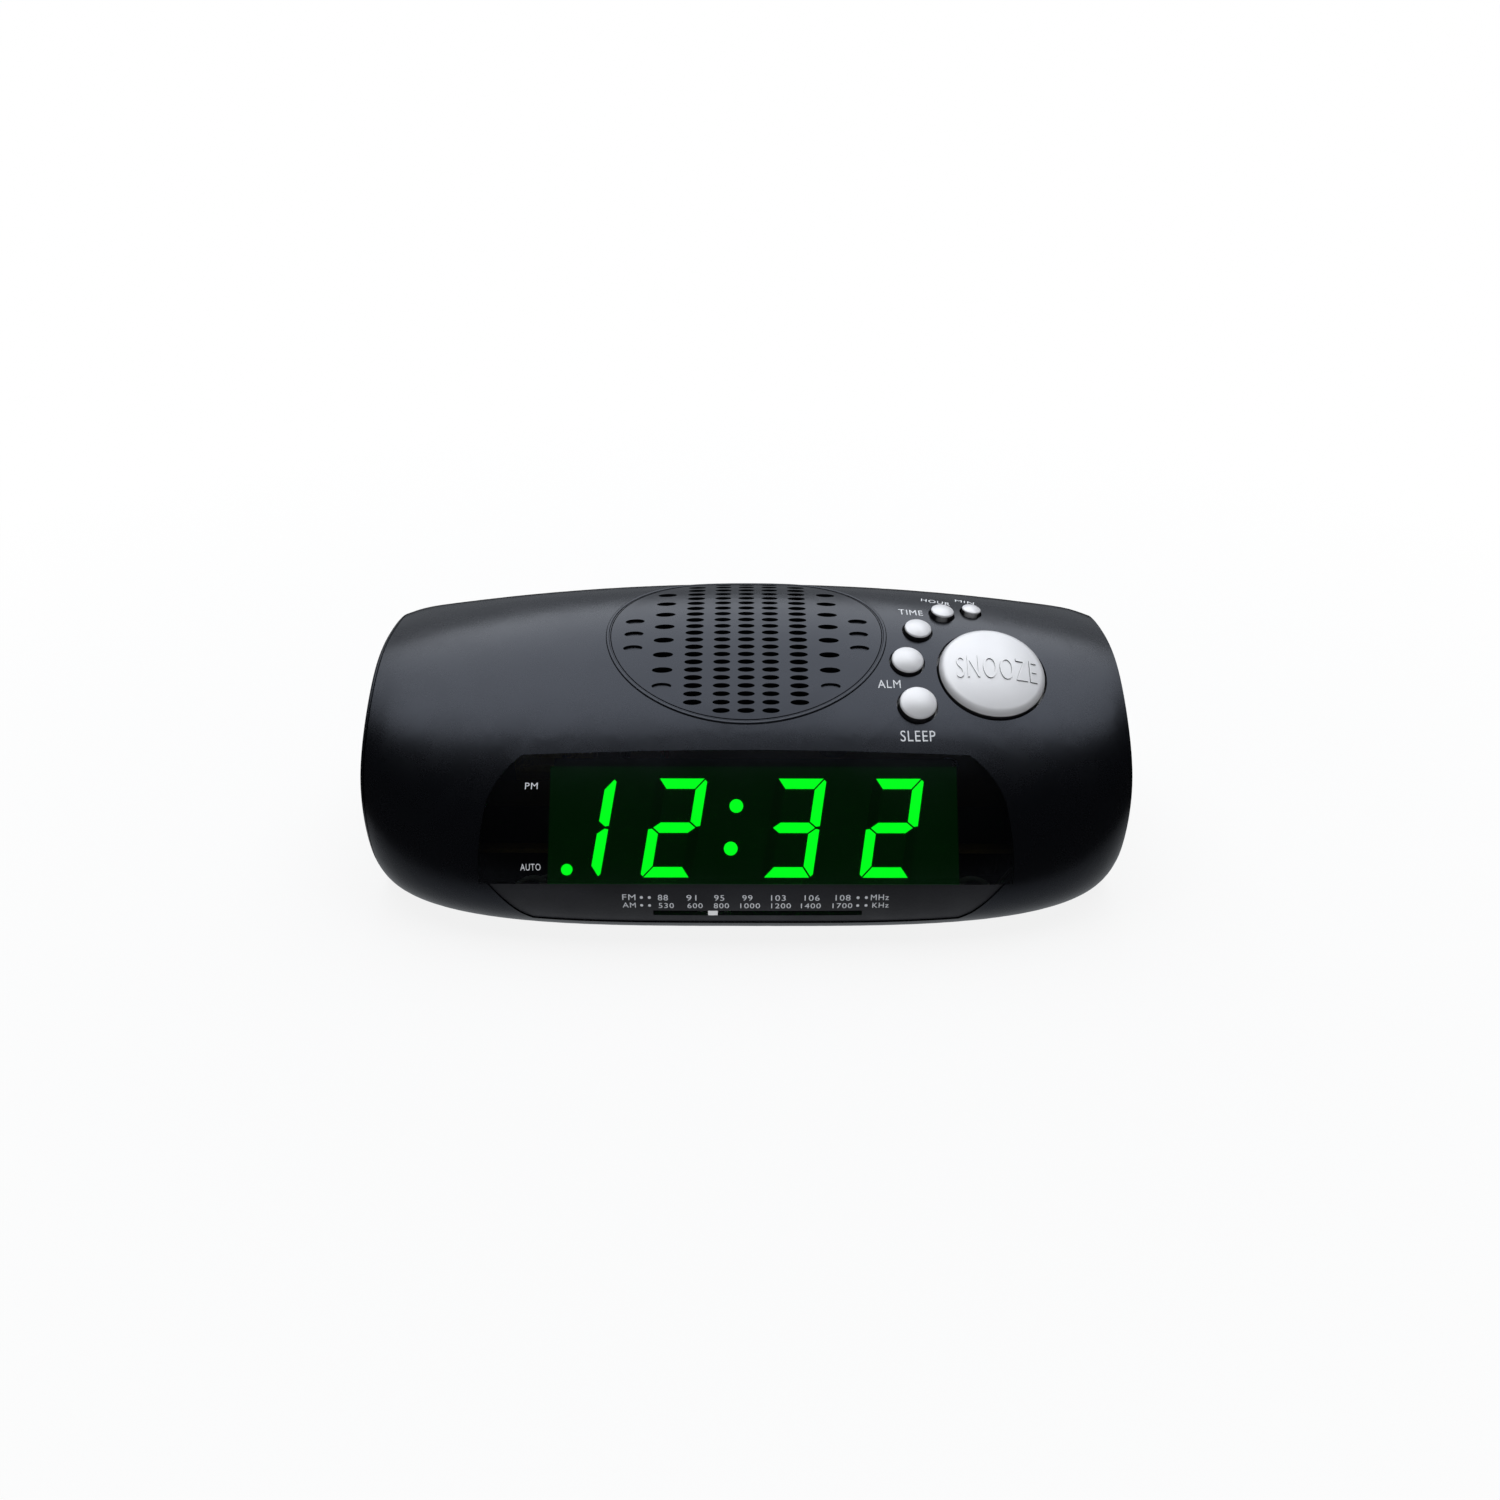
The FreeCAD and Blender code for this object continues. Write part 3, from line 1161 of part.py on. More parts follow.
cone = new_body("speaker_cone", SPEAKER)
revolve(cone, [
    (6.4, -14.6), (6.9, -14.6), (6.9, -8.4), (22.0, -1.2), (24.0, 0.0), (26.0, 0.0), (26.0, 0.45),
    (24.0, 0.5), (21.8, -0.6), (7.0, -7.5), (0, -5.0, dome_bulge(7.0, 2.5)), (0, -5.6), (6.4, -8.2),
])

clamp_shapes = []
for x, y in SPEAKER_POSTS:
    bar = Part.makeBox(8.2, 5.0, 1.0, Vector(26.2, -2.5, FLANGE_UNDER - 1.0))
    bar = bar.cut(Part.makeCylinder(1.0, 3.0, Vector(math.hypot(x, y), 0, FLANGE_UNDER - 2.0)))
    bar.rotate(Vector(0, 0, 0), Vector(0, 0, 1), math.degrees(math.atan2(y, x)))
    clamp_shapes.append(bar)
clamps = Part.makeCompound(clamp_shapes)
clamps.Placement = SPEAKER
feature_node("speaker_clamps", clamps)
speaker_axis = SPEAKER.Rotation.multVec(UP)
small_seats += [(SPEAKER.multVec(Vector(x, y, FLANGE_UNDER - 1.0)), speaker_axis)
                for x, y in SPEAKER_POSTS]
screws("small_screws", small_seats, 1.9, 1.2, 0.75, 5.0)

# ---------------------------------------------------------------- mains transformer
TX, TY = "dims.transformer_x", "dims.transformer_y"
CORE_LOW = 5.0
LEG = 6.8
WINDOW = 6.9
core = new_body("transformer_core")
core_side = new_sketch(core, "XZ_Plane", "-(%s + dims.lamination_stack / 2)" % TY)
add_outline(core_side, box_corners(
    TX + " - dims.lamination_width / 2", CORE_LOW, TX + " + dims.lamination_width / 2",
    "%s + dims.lamination_height" % CORE_LOW))
pad(core, core_side, "dims.lamination_stack")
windows = new_sketch(core, "XZ_Plane", "-(%s + dims.lamination_stack / 2)" % TY)
for near in (LEG, "dims.lamination_width - %s" % (LEG + WINDOW)):
    left = "%s - dims.lamination_width / 2 + %s" % (TX, near)
    add_outline(windows, box_corners(left, CORE_LOW + LEG, "%s + %s" % (left, WINDOW),
                                     "%s + dims.lamination_height - %s" % (CORE_LOW, LEG)))
pocket(core, windows, "dims.lamination_stack", reverse=True)

winding = new_body("transformer_winding")
block(winding, TX + " - 13.2", TY + " - 16.5", 12.0, TX + " + 13.2", TY + " + 16.5", 32.0)
leg_hole = new_sketch(winding, "XY_Plane", 12.0)
add_outline(leg_hole, box_corners(TX + " - 6.95", TY + " - 9.1", TX + " + 6.95", TY + " + 9.1"))
pocket(winding, leg_hole, 20.0, reverse=True)

bracket = new_body("transformer_bracket")
strap = new_sketch(bracket, "XZ_Plane", "-(%s + 6)" % TY)
inner_half, outer_half, ear_half = 20.6, 21.6, 31.0
strap_top = CORE_LOW + dim("lamination_height") + 0.1
centre_x = dim("transformer_x")
add_outline(strap, [
    (centre_x - ear_half, EAR_Z), (centre_x - inner_half, EAR_Z), (centre_x - inner_half, strap_top),
    (centre_x + inner_half, strap_top), (centre_x + inner_half, EAR_Z), (centre_x + ear_half, EAR_Z),
    (centre_x + ear_half, EAR_Z + 1.2), (centre_x + outer_half, EAR_Z + 1.2),
    (centre_x + outer_half, strap_top + 1.0), (centre_x - outer_half, strap_top + 1.0),
    (centre_x - outer_half, EAR_Z + 1.2), (centre_x - ear_half, EAR_Z + 1.2)])
pad(bracket, strap, 12.0)
holes(bracket, TRANSFORMER_FEET, 1.1, EAR_Z, EAR_Z + 1.2)

# ---------------------------------------------------------------- aerial and board parts
rod = new_body("ferrite_rod")
rod_end = new_sketch(rod, "YZ_Plane", "dims.rod_left")
add_circle(rod_end, "dims.rod_y", "dims.rod_z", "dims.rod_radius")
pad(rod, rod_end, "dims.rod_length")


def make_ferrite_coil():
    """Winding on a former whose two feet stand on the main board."""
    y, z = dim("rod_y"), dim("rod_z")
    along = Vector(1, 0, 0)
    start = dim("rod_left") + 22.0
    parts = [cylinder(Vector(start, y, z), along, 6.2, 24.0)]
    for x in (start - 2.0, start + 24.0):
        parts.append(cylinder(Vector(x, y, z), along, 7.4, 2.0))
        parts.append(Part.makeBox(2.0, 9.0, z - BOARD_TOP, Vector(x, y - 4.5, BOARD_TOP)))
    bore = cylinder(Vector(start - 5, y, z), along, dim("rod_radius") + 0.05, 40.0)
    return parts[0].multiFuse(parts[1:]).cut(bore)


feature_node("ferrite_coil", make_ferrite_coil())

cans = []
for x, y, radius, height in ((-22, -8, 4.0, 12.0), (-9, -15, 3.2, 8.0), (8, -18, 2.5, 7.0),
                             (30, 24, 5.0, 14.0), (58, -6, 2.5, 7.0), (66, 2, 3.2, 9.0)):
    can = Part.makeCylinder(radius, height, Vector(x, y, BOARD_TOP))
    cans.append(can.makeFillet(0.5, [e for e in can.Edges if e.BoundBox.ZMin > BOARD_TOP + 1]))
feature_node("electrolytic_capacitors", Part.makeCompound(cans))


def make_chip(x, y, pins_per_side):
    """Dual in-line chip with its row of legs on each side."""
    pitch = 2.54
    long = pins_per_side * pitch
    case = Part.makeBox(long, 6.4, 3.2, Vector(x - long / 2, y - 3.2, BOARD_TOP + 0.6))
    legs = []
    for i in range(pins_per_side):
        for side in (-1, 1):
            leg_x = x - long / 2 + pitch * (i + 0.5) - 0.3
            leg_y = y + side * 3.6 - 0.4
            legs.append(Part.makeBox(0.6, 0.8, 2.2, Vector(leg_x, leg_y, BOARD_TOP)))
    return case.multiFuse(legs).removeSplitter()


feature_node("integrated_circuits", Part.makeCompound([
    make_chip(-8.0, 6.0, 12), make_chip(26.0, -6.0, 9), make_chip(40.0, -22.0, 8)]))


def spline_wire(points):
    curve = Part.BSplineCurve()
    curve.interpolate([Vector(*p) for p in points])
    return Part.Wire(curve.toShape())


def cable(points, radius):
    path = spline_wire(points)
    edge = path.Edges[0]
    return tube_along(path, radius, edge.valueAt(edge.FirstParameter),
                      edge.tangentAt(edge.FirstParameter))


wire_low = BOARD_TOP + 0.2
ribbon = Part.makePolygon([Vector(-12, y, z) for y, z in (
    (-29.7, 18.6), (-29.1, 18.6), (-29.1, 26.6), (-30.85, 27.4), (-31.53, 26.6), (-29.7, 26.0),
    (-29.7, 18.6))])
feature_node("internal_wiring", Part.makeCompound([
    Part.Face(ribbon).extrude(Vector(24, 0, 0)),
    cable([(-21.6, 12.4, 54.0), (-26, 8, 42), (-27.5, 3, 28), (-28, 1, wire_low + 3),
           (-28, 1, wire_low)], 0.6),
    cable([(-20.6, 16.4, 53.6), (-24, 11, 42), (-26, 5, 28), (-26, 3.5, wire_low + 3),
           (-26, 3.5, wire_low)], 0.6),
    cable([(-60, 7.7, 26), (-59, 4, 27), (-48, -2, 26), (-37, -4, wire_low + 3), (-36, -4, wire_low)], 0.7),
    cable([(-42, 46.9, 17), (-45, 46.4, 19), (-52, 44.5, 23), (-56, 42.5, 24)], 0.7),
]))

# ---------------------------------------------------------------- mains cord and wire aerial
COIL = Vector(0, 88.0, 0)
COIL_LONG, COIL_WIDE = 46.0, 18.0
COIL_TURNS = 3.25
COIL_PITCH = 4.9
PLUG_AT = Vector(60.0, 106.0, 7.5)


def cord_points():
    """Down the loosely coiled cord: out of the wall, round the coil, along to the plug."""
    flex = dim("cord_flex_radius") + 0.1
    x, z = dim("cord_exit_x"), dim("cord_exit_z")
    points = [(x, 48.0, z), (x, 57.0, z), (x - 0.5, 67.0, z + 0.3), (x - 3.0, 77.0, z + 0.9)]
    steps = 12
    total = int(COIL_TURNS * steps)
    for i in range(total + 1):
        angle = math.pi - 2 * math.pi * i / steps
        height = flex + COIL_PITCH * (COIL_TURNS - i / steps)
        points.append((COIL.x + COIL_LONG * math.cos(angle), COIL.y + COIL_WIDE * math.sin(angle), height))
    points += [(22.0, 107.2, flex + 0.6), (42.0, 106.6, 5.6), (PLUG_AT.x + 2, PLUG_AT.y, PLUG_AT.z)]
    return points


def make_power_cord():
    """Cord with the strain relief moulded on where it leaves the rear wall."""
    cord = cable(cord_points(), dim("cord_flex_radius"))
    x, z = dim("cord_exit_x"), dim("cord_exit_z")
    back = Vector(0, 1, 0)
    relief = [
        cylinder(Vector(x, 50.6, z), back, 5.2, 2.2), cylinder(Vector(x, 52.0, z), back, 3.85, 5.0),
        cylinder(Vector(x, 56.3, z), back, 5.4, 1.5),
        Part.makeCone(4.0, 2.9, 8.0, Vector(x, 57.5, z), back),
    ]
    return cord.multiFuse(relief)


feature_node("power_cord", make_power_cord())

plug = new_body("power_plug", Placement(PLUG_AT, Rotation()))
grip_profile = new_sketch(plug, "XY_Plane", -6.5)
add_outline(grip_profile, [(2.2, -4.0), (8.0, -8.0), (26.0, -11.5), (26.0, 11.5), (8.0, 8.0), (2.2, 4.0)])
pad(plug, grip_profile, 13.0)
tail_hole = new_sketch(plug, "YZ_Plane", 0.0)
add_circle(tail_hole, 0, 0, "dims.cord_flex_radius + 0.3")
pocket(plug, tail_hole, 6.0, reverse=True)

blades = new_body("plug_blades", Placement(PLUG_AT, Rotation()))
blade_outline = new_sketch(blades, "XY_Plane", -3.15)
for side in (-1, 1):
    near, far = sorted((side * 5.6, side * 7.1))
    add_outline(blade_outline, box_corners(26.0, near, 43.0, far))
pad(blades, blade_outline, 6.3)

feature_node("wire_aerial", cable([
    (AERIAL.x, 46.0, AERIAL.z), (AERIAL.x, 51.5, AERIAL.z), (AERIAL.x, 57.0, AERIAL.z),
    (80.0, 63.0, 18.0), (84.0, 67.0, 7.0), (90.0, 67.5, 1.6), (98.5, 64.0, 1.1), (106.0, 56.0, 1.1)], 0.9))

for item in doc.Objects:
    bad = [s for s in item.State if s in ("Invalid", "Error")]
    if bad:
        raise RuntimeError("%s is %s" % (item.Label, bad))
for item in NODES:
    if item.Shape.isNull() or not item.Shape.isValid():
        raise RuntimeError(item.Label + " has no valid shape")
    item.Shape.exportStep("parts/%s.step" % item.Label)
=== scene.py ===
import bmesh
import bpy
import json
import math
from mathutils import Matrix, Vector
from mathutils.bvhtree import BVHTree


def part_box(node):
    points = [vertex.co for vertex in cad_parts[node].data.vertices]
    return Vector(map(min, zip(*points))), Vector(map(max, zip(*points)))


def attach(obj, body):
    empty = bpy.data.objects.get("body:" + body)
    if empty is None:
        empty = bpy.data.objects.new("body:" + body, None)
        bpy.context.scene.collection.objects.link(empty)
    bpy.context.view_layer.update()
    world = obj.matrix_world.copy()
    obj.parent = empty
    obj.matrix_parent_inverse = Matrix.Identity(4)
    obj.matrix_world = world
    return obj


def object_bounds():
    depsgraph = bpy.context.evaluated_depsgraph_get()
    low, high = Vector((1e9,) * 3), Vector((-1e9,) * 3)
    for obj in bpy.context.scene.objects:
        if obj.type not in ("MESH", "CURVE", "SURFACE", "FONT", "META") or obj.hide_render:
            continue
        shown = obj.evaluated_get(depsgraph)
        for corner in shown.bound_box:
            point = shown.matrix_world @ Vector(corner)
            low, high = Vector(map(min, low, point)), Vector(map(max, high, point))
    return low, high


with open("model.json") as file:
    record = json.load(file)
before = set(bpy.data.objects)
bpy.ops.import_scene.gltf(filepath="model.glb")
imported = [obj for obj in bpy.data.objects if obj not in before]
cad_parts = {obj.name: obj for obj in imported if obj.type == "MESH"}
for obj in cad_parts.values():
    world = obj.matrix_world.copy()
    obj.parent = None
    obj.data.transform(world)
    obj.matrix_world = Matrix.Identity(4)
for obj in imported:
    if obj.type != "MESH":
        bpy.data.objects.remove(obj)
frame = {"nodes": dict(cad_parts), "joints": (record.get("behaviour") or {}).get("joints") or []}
cad_low, cad_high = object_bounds()

FRONT_REACH = 0.0553        # from the dial strip's face back to the middle of the housing
MIDDLE_Y = cad_low.y + FRONT_REACH


def at(x, y, z):
    """Point in the frame from millimetres measured from the middle of the housing's footprint."""
    return Vector((x / 1000, y / 1000 + MIDDLE_Y, z / 1000))


# ---------------------------------------------------------------- materials
class Shader:
    """A node material being put together, with its Principled node and object coordinates."""

    def __init__(self, name):
        self.material = bpy.data.materials.new(name)
        self.material.use_nodes = True
        self.nodes = self.material.node_tree.nodes
        self.links = self.material.node_tree.links
        self.surface = self.nodes["Principled BSDF"]
        self.output = self.nodes["Material Output"]
        self.place = self.node("ShaderNodeTexCoord").outputs["Object"]

    def node(self, kind, **settings):
        made = self.nodes.new(kind)
        for key, value in settings.items():
            setattr(made, key, value)
        return made

    def feed(self, socket, value):
        if isinstance(value, bpy.types.NodeSocket):
            self.links.new(value, socket)
        elif isinstance(value, (tuple, list)) and len(value) == 3 and socket.type == "RGBA":
            socket.default_value = (*value, 1.0)
        else:
            socket.default_value = value

    def stretched(self, scale):
        mapping = self.node("ShaderNodeMapping")
        self.feed(mapping.inputs["Vector"], self.place)
        mapping.inputs["Scale"].default_value = scale
        return mapping.outputs["Vector"]

    def noise(self, scale, detail=3.0, where=None):
        texture = self.node("ShaderNodeTexNoise")
        self.feed(texture.inputs["Vector"], where or self.place)
        texture.inputs["Scale"].default_value = scale
        texture.inputs["Detail"].default_value = detail
        return texture.outputs["Fac"]

    def bands(self, scale, direction="X", where=None, distortion=0.0):
        texture = self.node("ShaderNodeTexWave", wave_type="BANDS", bands_direction=direction)
        self.feed(texture.inputs["Vector"], where or self.place)
        texture.inputs["Scale"].default_value = scale
        texture.inputs["Distortion"].default_value = distortion
        return texture.outputs["Fac"]

    def math(self, kind, a, b=0.0):
        made = self.node("ShaderNodeMath", operation=kind)
        self.feed(made.inputs[0], a)
        self.feed(made.inputs[1], b)
        return made.outputs[0]

    def spread(self, value, low, high, start=0.3, end=0.7):
        made = self.node("ShaderNodeMapRange")
        self.feed(made.inputs["Value"], value)
        for key, limit in (("From Min", start), ("From Max", end), ("To Min", low), ("To Max", high)):
            made.inputs[key].default_value = limit
        return made.outputs["Result"]

    def mix(self, share, a, b):
        made = self.node("ShaderNodeMix", data_type="RGBA")
        self.feed(made.inputs["Factor"], share)
        self.feed(made.inputs["A"], a)
        self.feed(made.inputs["B"], b)
        return made.outputs["Result"]

    def bump(self, height, depth, strength=1.0):
        made = self.node("ShaderNodeBump")
        made.inputs["Strength"].default_value = strength
        made.inputs["Distance"].default_value = depth
        self.feed(made.inputs["Height"], height)
        self.feed(self.surface.inputs["Normal"], made.outputs["Normal"])

    def axis(self, letter, source="place"):
        split = self.node("ShaderNodeSeparateXYZ")
        if source == "normal":
            self.feed(split.inputs[0], self.node("ShaderNodeNewGeometry").outputs["Normal"])
        else:
            self.feed(split.inputs[0], self.place)
        return split.outputs[letter]

    def set(self, **values):
        for key, value in values.items():
            self.feed(self.surface.inputs[key.replace("_", " ")], value)


def tinted(color, factor):
    return tuple(min(channel * factor, 1.0) for channel in color)


def finish(name, color, roughness, metallic=0.0, grain=2200.0, depth=1.5e-5, mottle=0.12,
           uneven=0.05, stretch=None, sheen=(1.0, 1.0, 1.0)):
    """Surface with slow colour drift, uneven gloss and a fine bump. Sizes are per metre."""
    shader = Shader(name)
    where = shader.stretched(stretch) if stretch else None
    drift = shader.noise(38.0, 4.0)
    fine = shader.noise(grain, 2.0, where)
    smudge = shader.noise(95.0, 3.0)
    shader.set(
        Base_Color=shader.mix(shader.spread(drift, 0.0, 1.0), tinted(color, 1 - mottle),
                              tinted(color, 1 + mottle)),
        Roughness=shader.math("ADD", shader.spread(smudge, roughness - uneven, roughness + uneven),
                              shader.spread(fine, -uneven / 2, uneven / 2)),
        Metallic=metallic, Specular_Tint=sheen)
    shader.bump(fine, depth)
    return shader


HOUSING_TINT = (0.0018, 0.0020, 0.0027)
HOUSING_SHEEN = (0.78, 0.84, 1.0)
BUTTONS_FACE = (0.05, -0.38, 0.92)      # mean direction in which the buttons' faces look
PAINT_METAL = 0.36
housing = finish("moulded_housing", HOUSING_TINT, 0.27, grain=3200.0, depth=6e-6, uneven=0.02,
                 mottle=0.10, sheen=HOUSING_SHEEN)
grille = finish("moulded_grille", HOUSING_TINT, 0.29, grain=3200.0, depth=6e-6, uneven=0.025,
                mottle=0.10, sheen=HOUSING_SHEEN)
# Painted highlight: the bead round the grille is the housing's plastic made 1.6 times lighter,
# standing in for the light its rounded edge catches.
bead_painted_highlight = finish("moulded_bead_painted_highlight", tinted(HOUSING_TINT, 1.6), 0.28, grain=3200.0, depth=6e-6,
               uneven=0.03, sheen=HOUSING_SHEEN)
underside = finish("moulded_base", (0.005, 0.0052, 0.006), 0.55, grain=1500.0, depth=3e-5,
                   sheen=(0.6, 0.65, 0.75))
strip = finish("textured_strip", (0.0135, 0.0142, 0.0185), 0.60, grain=2600.0, depth=4.5e-5,
               mottle=0.18, uneven=0.08)
knob = finish("wheel_plastic", (0.012, 0.012, 0.013), 0.45, grain=2000.0, depth=2e-5)
rubber = finish("foot_rubber", (0.022, 0.022, 0.023), 0.85, grain=1400.0, depth=6e-5, uneven=0.06)
flex = finish("cord_sheath", (0.010, 0.010, 0.011), 0.38, grain=700.0, depth=3e-5, uneven=0.06,
              mottle=0.2)
zinc = finish("zinc_plate", (0.56, 0.57, 0.58), 0.34, metallic=1.0, grain=1800.0, depth=1e-5,
              mottle=0.10, uneven=0.08, stretch=(1.0, 9.0, 1.0))
nickel = finish("nickel_plate", (0.66, 0.65, 0.62), 0.24, metallic=1.0, grain=2400.0, depth=5e-6,
                mottle=0.06)
brass = finish("drawn_brass", (0.72, 0.55, 0.26), 0.28, metallic=1.0, grain=2600.0, depth=8e-6,
               mottle=0.10, stretch=(1.0, 14.0, 14.0))
print_white = finish("printed_legend", (0.80, 0.82, 0.85), 0.55, grain=5000.0, depth=5e-6,
                     mottle=0.04)
scale_white = finish("printed_scale", (0.62, 0.64, 0.68), 0.60, grain=5000.0, depth=5e-6,
                     mottle=0.05)
pointer_white = finish("pointer_plastic", (0.85, 0.86, 0.88), 0.42, grain=1800.0, depth=1e-5,
                       mottle=0.05)
nylon = finish("pulley_nylon", (0.72, 0.70, 0.64), 0.45, grain=1500.0, depth=1.5e-5, mottle=0.08)
varicap = finish("capacitor_case", (0.60, 0.57, 0.47), 0.40, grain=1300.0, depth=2e-5, mottle=0.12)
display_mask = finish("display_mask", (0.004, 0.004, 0.005), 0.50, grain=1200.0, depth=1.5e-5)
switch_case = finish("switch_case", (0.018, 0.018, 0.020), 0.50, grain=1800.0, depth=2e-5)
ceramic = finish("ferrite_ceramic", (0.045, 0.043, 0.045), 0.62, grain=1600.0, depth=5e-5,
                 mottle=0.25, uneven=0.10)
string = finish("woven_cord", (0.55, 0.50, 0.40), 0.75, grain=4200.0, depth=6e-5, mottle=0.25)


def make_button_paint_and_wall_shade():
    """Satin silver on the faces of the buttons. Their walls are painted near black and bare of metal:
    painted shade for the shadow on the walls and in the gaps round the buttons.
    """
    shader = finish("silver_paint_with_painted_wall_shade", (0.72, 0.72, 0.74), 0.48, metallic=PAINT_METAL, grain=5200.0,
                    depth=8e-6, mottle=0.03, uneven=0.04)
    paint = shader.surface.inputs["Base Color"].links[0].from_socket
    facing = shader.node("ShaderNodeVectorMath", operation="DOT_PRODUCT")
    shader.feed(facing.inputs[0], shader.node("ShaderNodeNewGeometry").outputs["Normal"])
    facing.inputs[1].default_value = BUTTONS_FACE
    # Painted shade: faces turned away from the buttons' look direction get near-black colour in place
    # of the shadow on their walls.
    painted_wall_shade = shader.spread(facing.outputs["Value"], 1.0, 0.0, 0.22, 0.32)
    shader.set(Base_Color=shader.mix(painted_wall_shade, paint, (0.008, 0.008, 0.010)),
               Metallic=shader.spread(painted_wall_shade, PAINT_METAL, 0.0, 0.0, 1.0))
    return shader


def make_board():
    """Paper laminate with a green mask that leaves the copper's pattern showing through."""
    shader = finish("board_laminate", (0.30, 0.18, 0.07), 0.55, grain=900.0, depth=2.5e-5,
                    mottle=0.15, stretch=(1.0, 6.0, 1.0))
    cells = shader.node("ShaderNodeTexVoronoi", feature="DISTANCE_TO_EDGE")
    shader.feed(cells.inputs["Vector"], shader.place)
    cells.inputs["Scale"].default_value = 160.0
    track = shader.spread(cells.outputs["Distance"], 0.0, 1.0, 0.08, 0.11)
    laminate = shader.surface.inputs["Base Color"].links[0].from_socket
    under = shader.spread(shader.axis("Z", "normal"), 1.0, 0.0, -0.4, -0.2)
    copper = shader.mix(track, (0.04, 0.10, 0.03), (0.16, 0.24, 0.06))
    shader.set(Base_Color=shader.mix(under, laminate, copper))
    return shader


def make_laminations():
    """Stack of thin steel sheets seen edge on, under brown varnish."""
    shader = finish("transformer_steel", (0.11, 0.085, 0.065), 0.42, metallic=0.6, grain=1200.0,
                    depth=2e-5, mottle=0.3, uneven=0.08)
    sheets = shader.bands(330.0, "Y")
    tone = shader.surface.inputs["Base Color"].links[0].from_socket
    shader.set(Base_Color=shader.mix(shader.spread(sheets, 0.0, 0.6), tone, (0.025, 0.02, 0.018)))
    shader.bump(sheets, 8e-5)
    return shader


def make_wound(name, color, scale, direction, gloss=0.35):
    """Fine wire laid side by side."""
    shader = finish(name, color, gloss, metallic=0.5, grain=1500.0, depth=1e-5, mottle=0.2)
    turns = shader.bands(scale, direction, distortion=0.4)
    tone = shader.surface.inputs["Base Color"].links[0].from_socket
    shader.set(Base_Color=shader.mix(shader.spread(turns, 0.0, 0.55), tone, tinted(color, 0.35)))
    shader.bump(turns, 9e-5)
    return shader


def make_cans():
    """Printed plastic sleeves with bare aluminium tops."""
    shader = finish("capacitor_sleeve", (0.012, 0.025, 0.085), 0.30, grain=1600.0, depth=1e-5)
    sleeve = shader.surface.inputs["Base Color"].links[0].from_socket
    top = shader.spread(shader.axis("Z", "normal"), 0.0, 1.0, 0.6, 0.9)
    stripe = shader.spread(shader.axis("X", "normal"), 0.0, 0.85, 0.90, 0.94)
    printed = shader.mix(stripe, sleeve, (0.62, 0.66, 0.72))
    shader.set(Base_Color=shader.mix(top, printed, (0.68, 0.69, 0.70)), Metallic=top)
    return shader


LEG_HEIGHT = 0.0008         # how far the chips' cases stand above the foot of their legs


def make_chips(foot):
    """Black moulded cases with tinned legs below them."""
    shader = finish("chip_case", (0.014, 0.014, 0.015), 0.55, grain=1900.0, depth=3e-5)
    case = shader.surface.inputs["Base Color"].links[0].from_socket
    leg = shader.spread(shader.axis("Z"), 1.0, 0.0, foot + LEG_HEIGHT, foot + LEG_HEIGHT + 1e-4)
    shader.set(Base_Color=shader.mix(leg, case, (0.62, 0.62, 0.60)), Metallic=leg)
    return shader


CORE_PITCH = 0.00127        # between the cores of the ribbon cable
RIBBON_LEFT = -0.017        # the ribbon runs to the right of this X, the separate leads to its left


def make_wires():
    """Ribbon of grey cores and separate coloured leads, told apart by where they run."""
    shader = finish("wire_insulation", (0.25, 0.25, 0.27), 0.42, grain=1500.0, depth=1e-5)
    cores = shader.bands(math.pi / 20 / CORE_PITCH, "X")
    grey = shader.mix(shader.spread(cores, 0.0, 1.0), (0.10, 0.10, 0.11), (0.42, 0.42, 0.45))
    apart = shader.spread(shader.axis("X"), 1.0, 0.0, RIBBON_LEFT - 5e-4, RIBBON_LEFT)
    leads = shader.mix(shader.spread(shader.noise(26.0, 1.0), 0.0, 1.0, 0.49, 0.51),
                       (0.42, 0.02, 0.015), (0.012, 0.012, 0.014))
    shader.set(Base_Color=shader.mix(apart, grey, leads))
    shader.bump(cores, 6e-5)
    return shader


def make_lens():
    """Smoked window: a clear tint that passes the display, under a mirror-smooth face."""
    shader = Shader("smoked_window")
    clear = shader.node("ShaderNodeBsdfTransparent")
    drift = shader.noise(30.0, 2.0)
    shader.feed(clear.inputs["Color"], shader.mix(drift, (0.47, 0.50, 0.49), (0.50, 0.53, 0.52)))
    gloss = shader.node("ShaderNodeBsdfGlossy")
    gloss.inputs["Color"].default_value = (*HOUSING_SHEEN, 1.0)
    shader.feed(gloss.inputs["Roughness"], shader.spread(shader.noise(60.0), 0.20, 0.25))
    facing = shader.node("ShaderNodeFresnel")
    facing.inputs["IOR"].default_value = 1.42
    blend = shader.node("ShaderNodeMixShader")
    shader.feed(blend.inputs[0], facing.outputs[0])
    shader.links.new(clear.outputs[0], blend.inputs[1])
    shader.links.new(gloss.outputs[0], blend.inputs[2])
    shader.links.new(blend.outputs[0], shader.output.inputs["Surface"])
    shader.nodes.remove(shader.surface)
    return shader


def make_glow(name, color, strength, dull):
    """Diffused light bar, a little uneven along its length. Where the part is not lit, its weak
    emission is a painted glow.
    """
    shader = finish(name, dull, 0.35, grain=1800.0, depth=1e-5, mottle=0.05)
    uneven = shader.noise(160.0, 2.0)
    shader.surface.inputs["Emission Color"].default_value = (*color, 1.0)
    shader.set(Emission_Strength=shader.spread(uneven, strength * 0.94, strength * 1.06))
    return shader


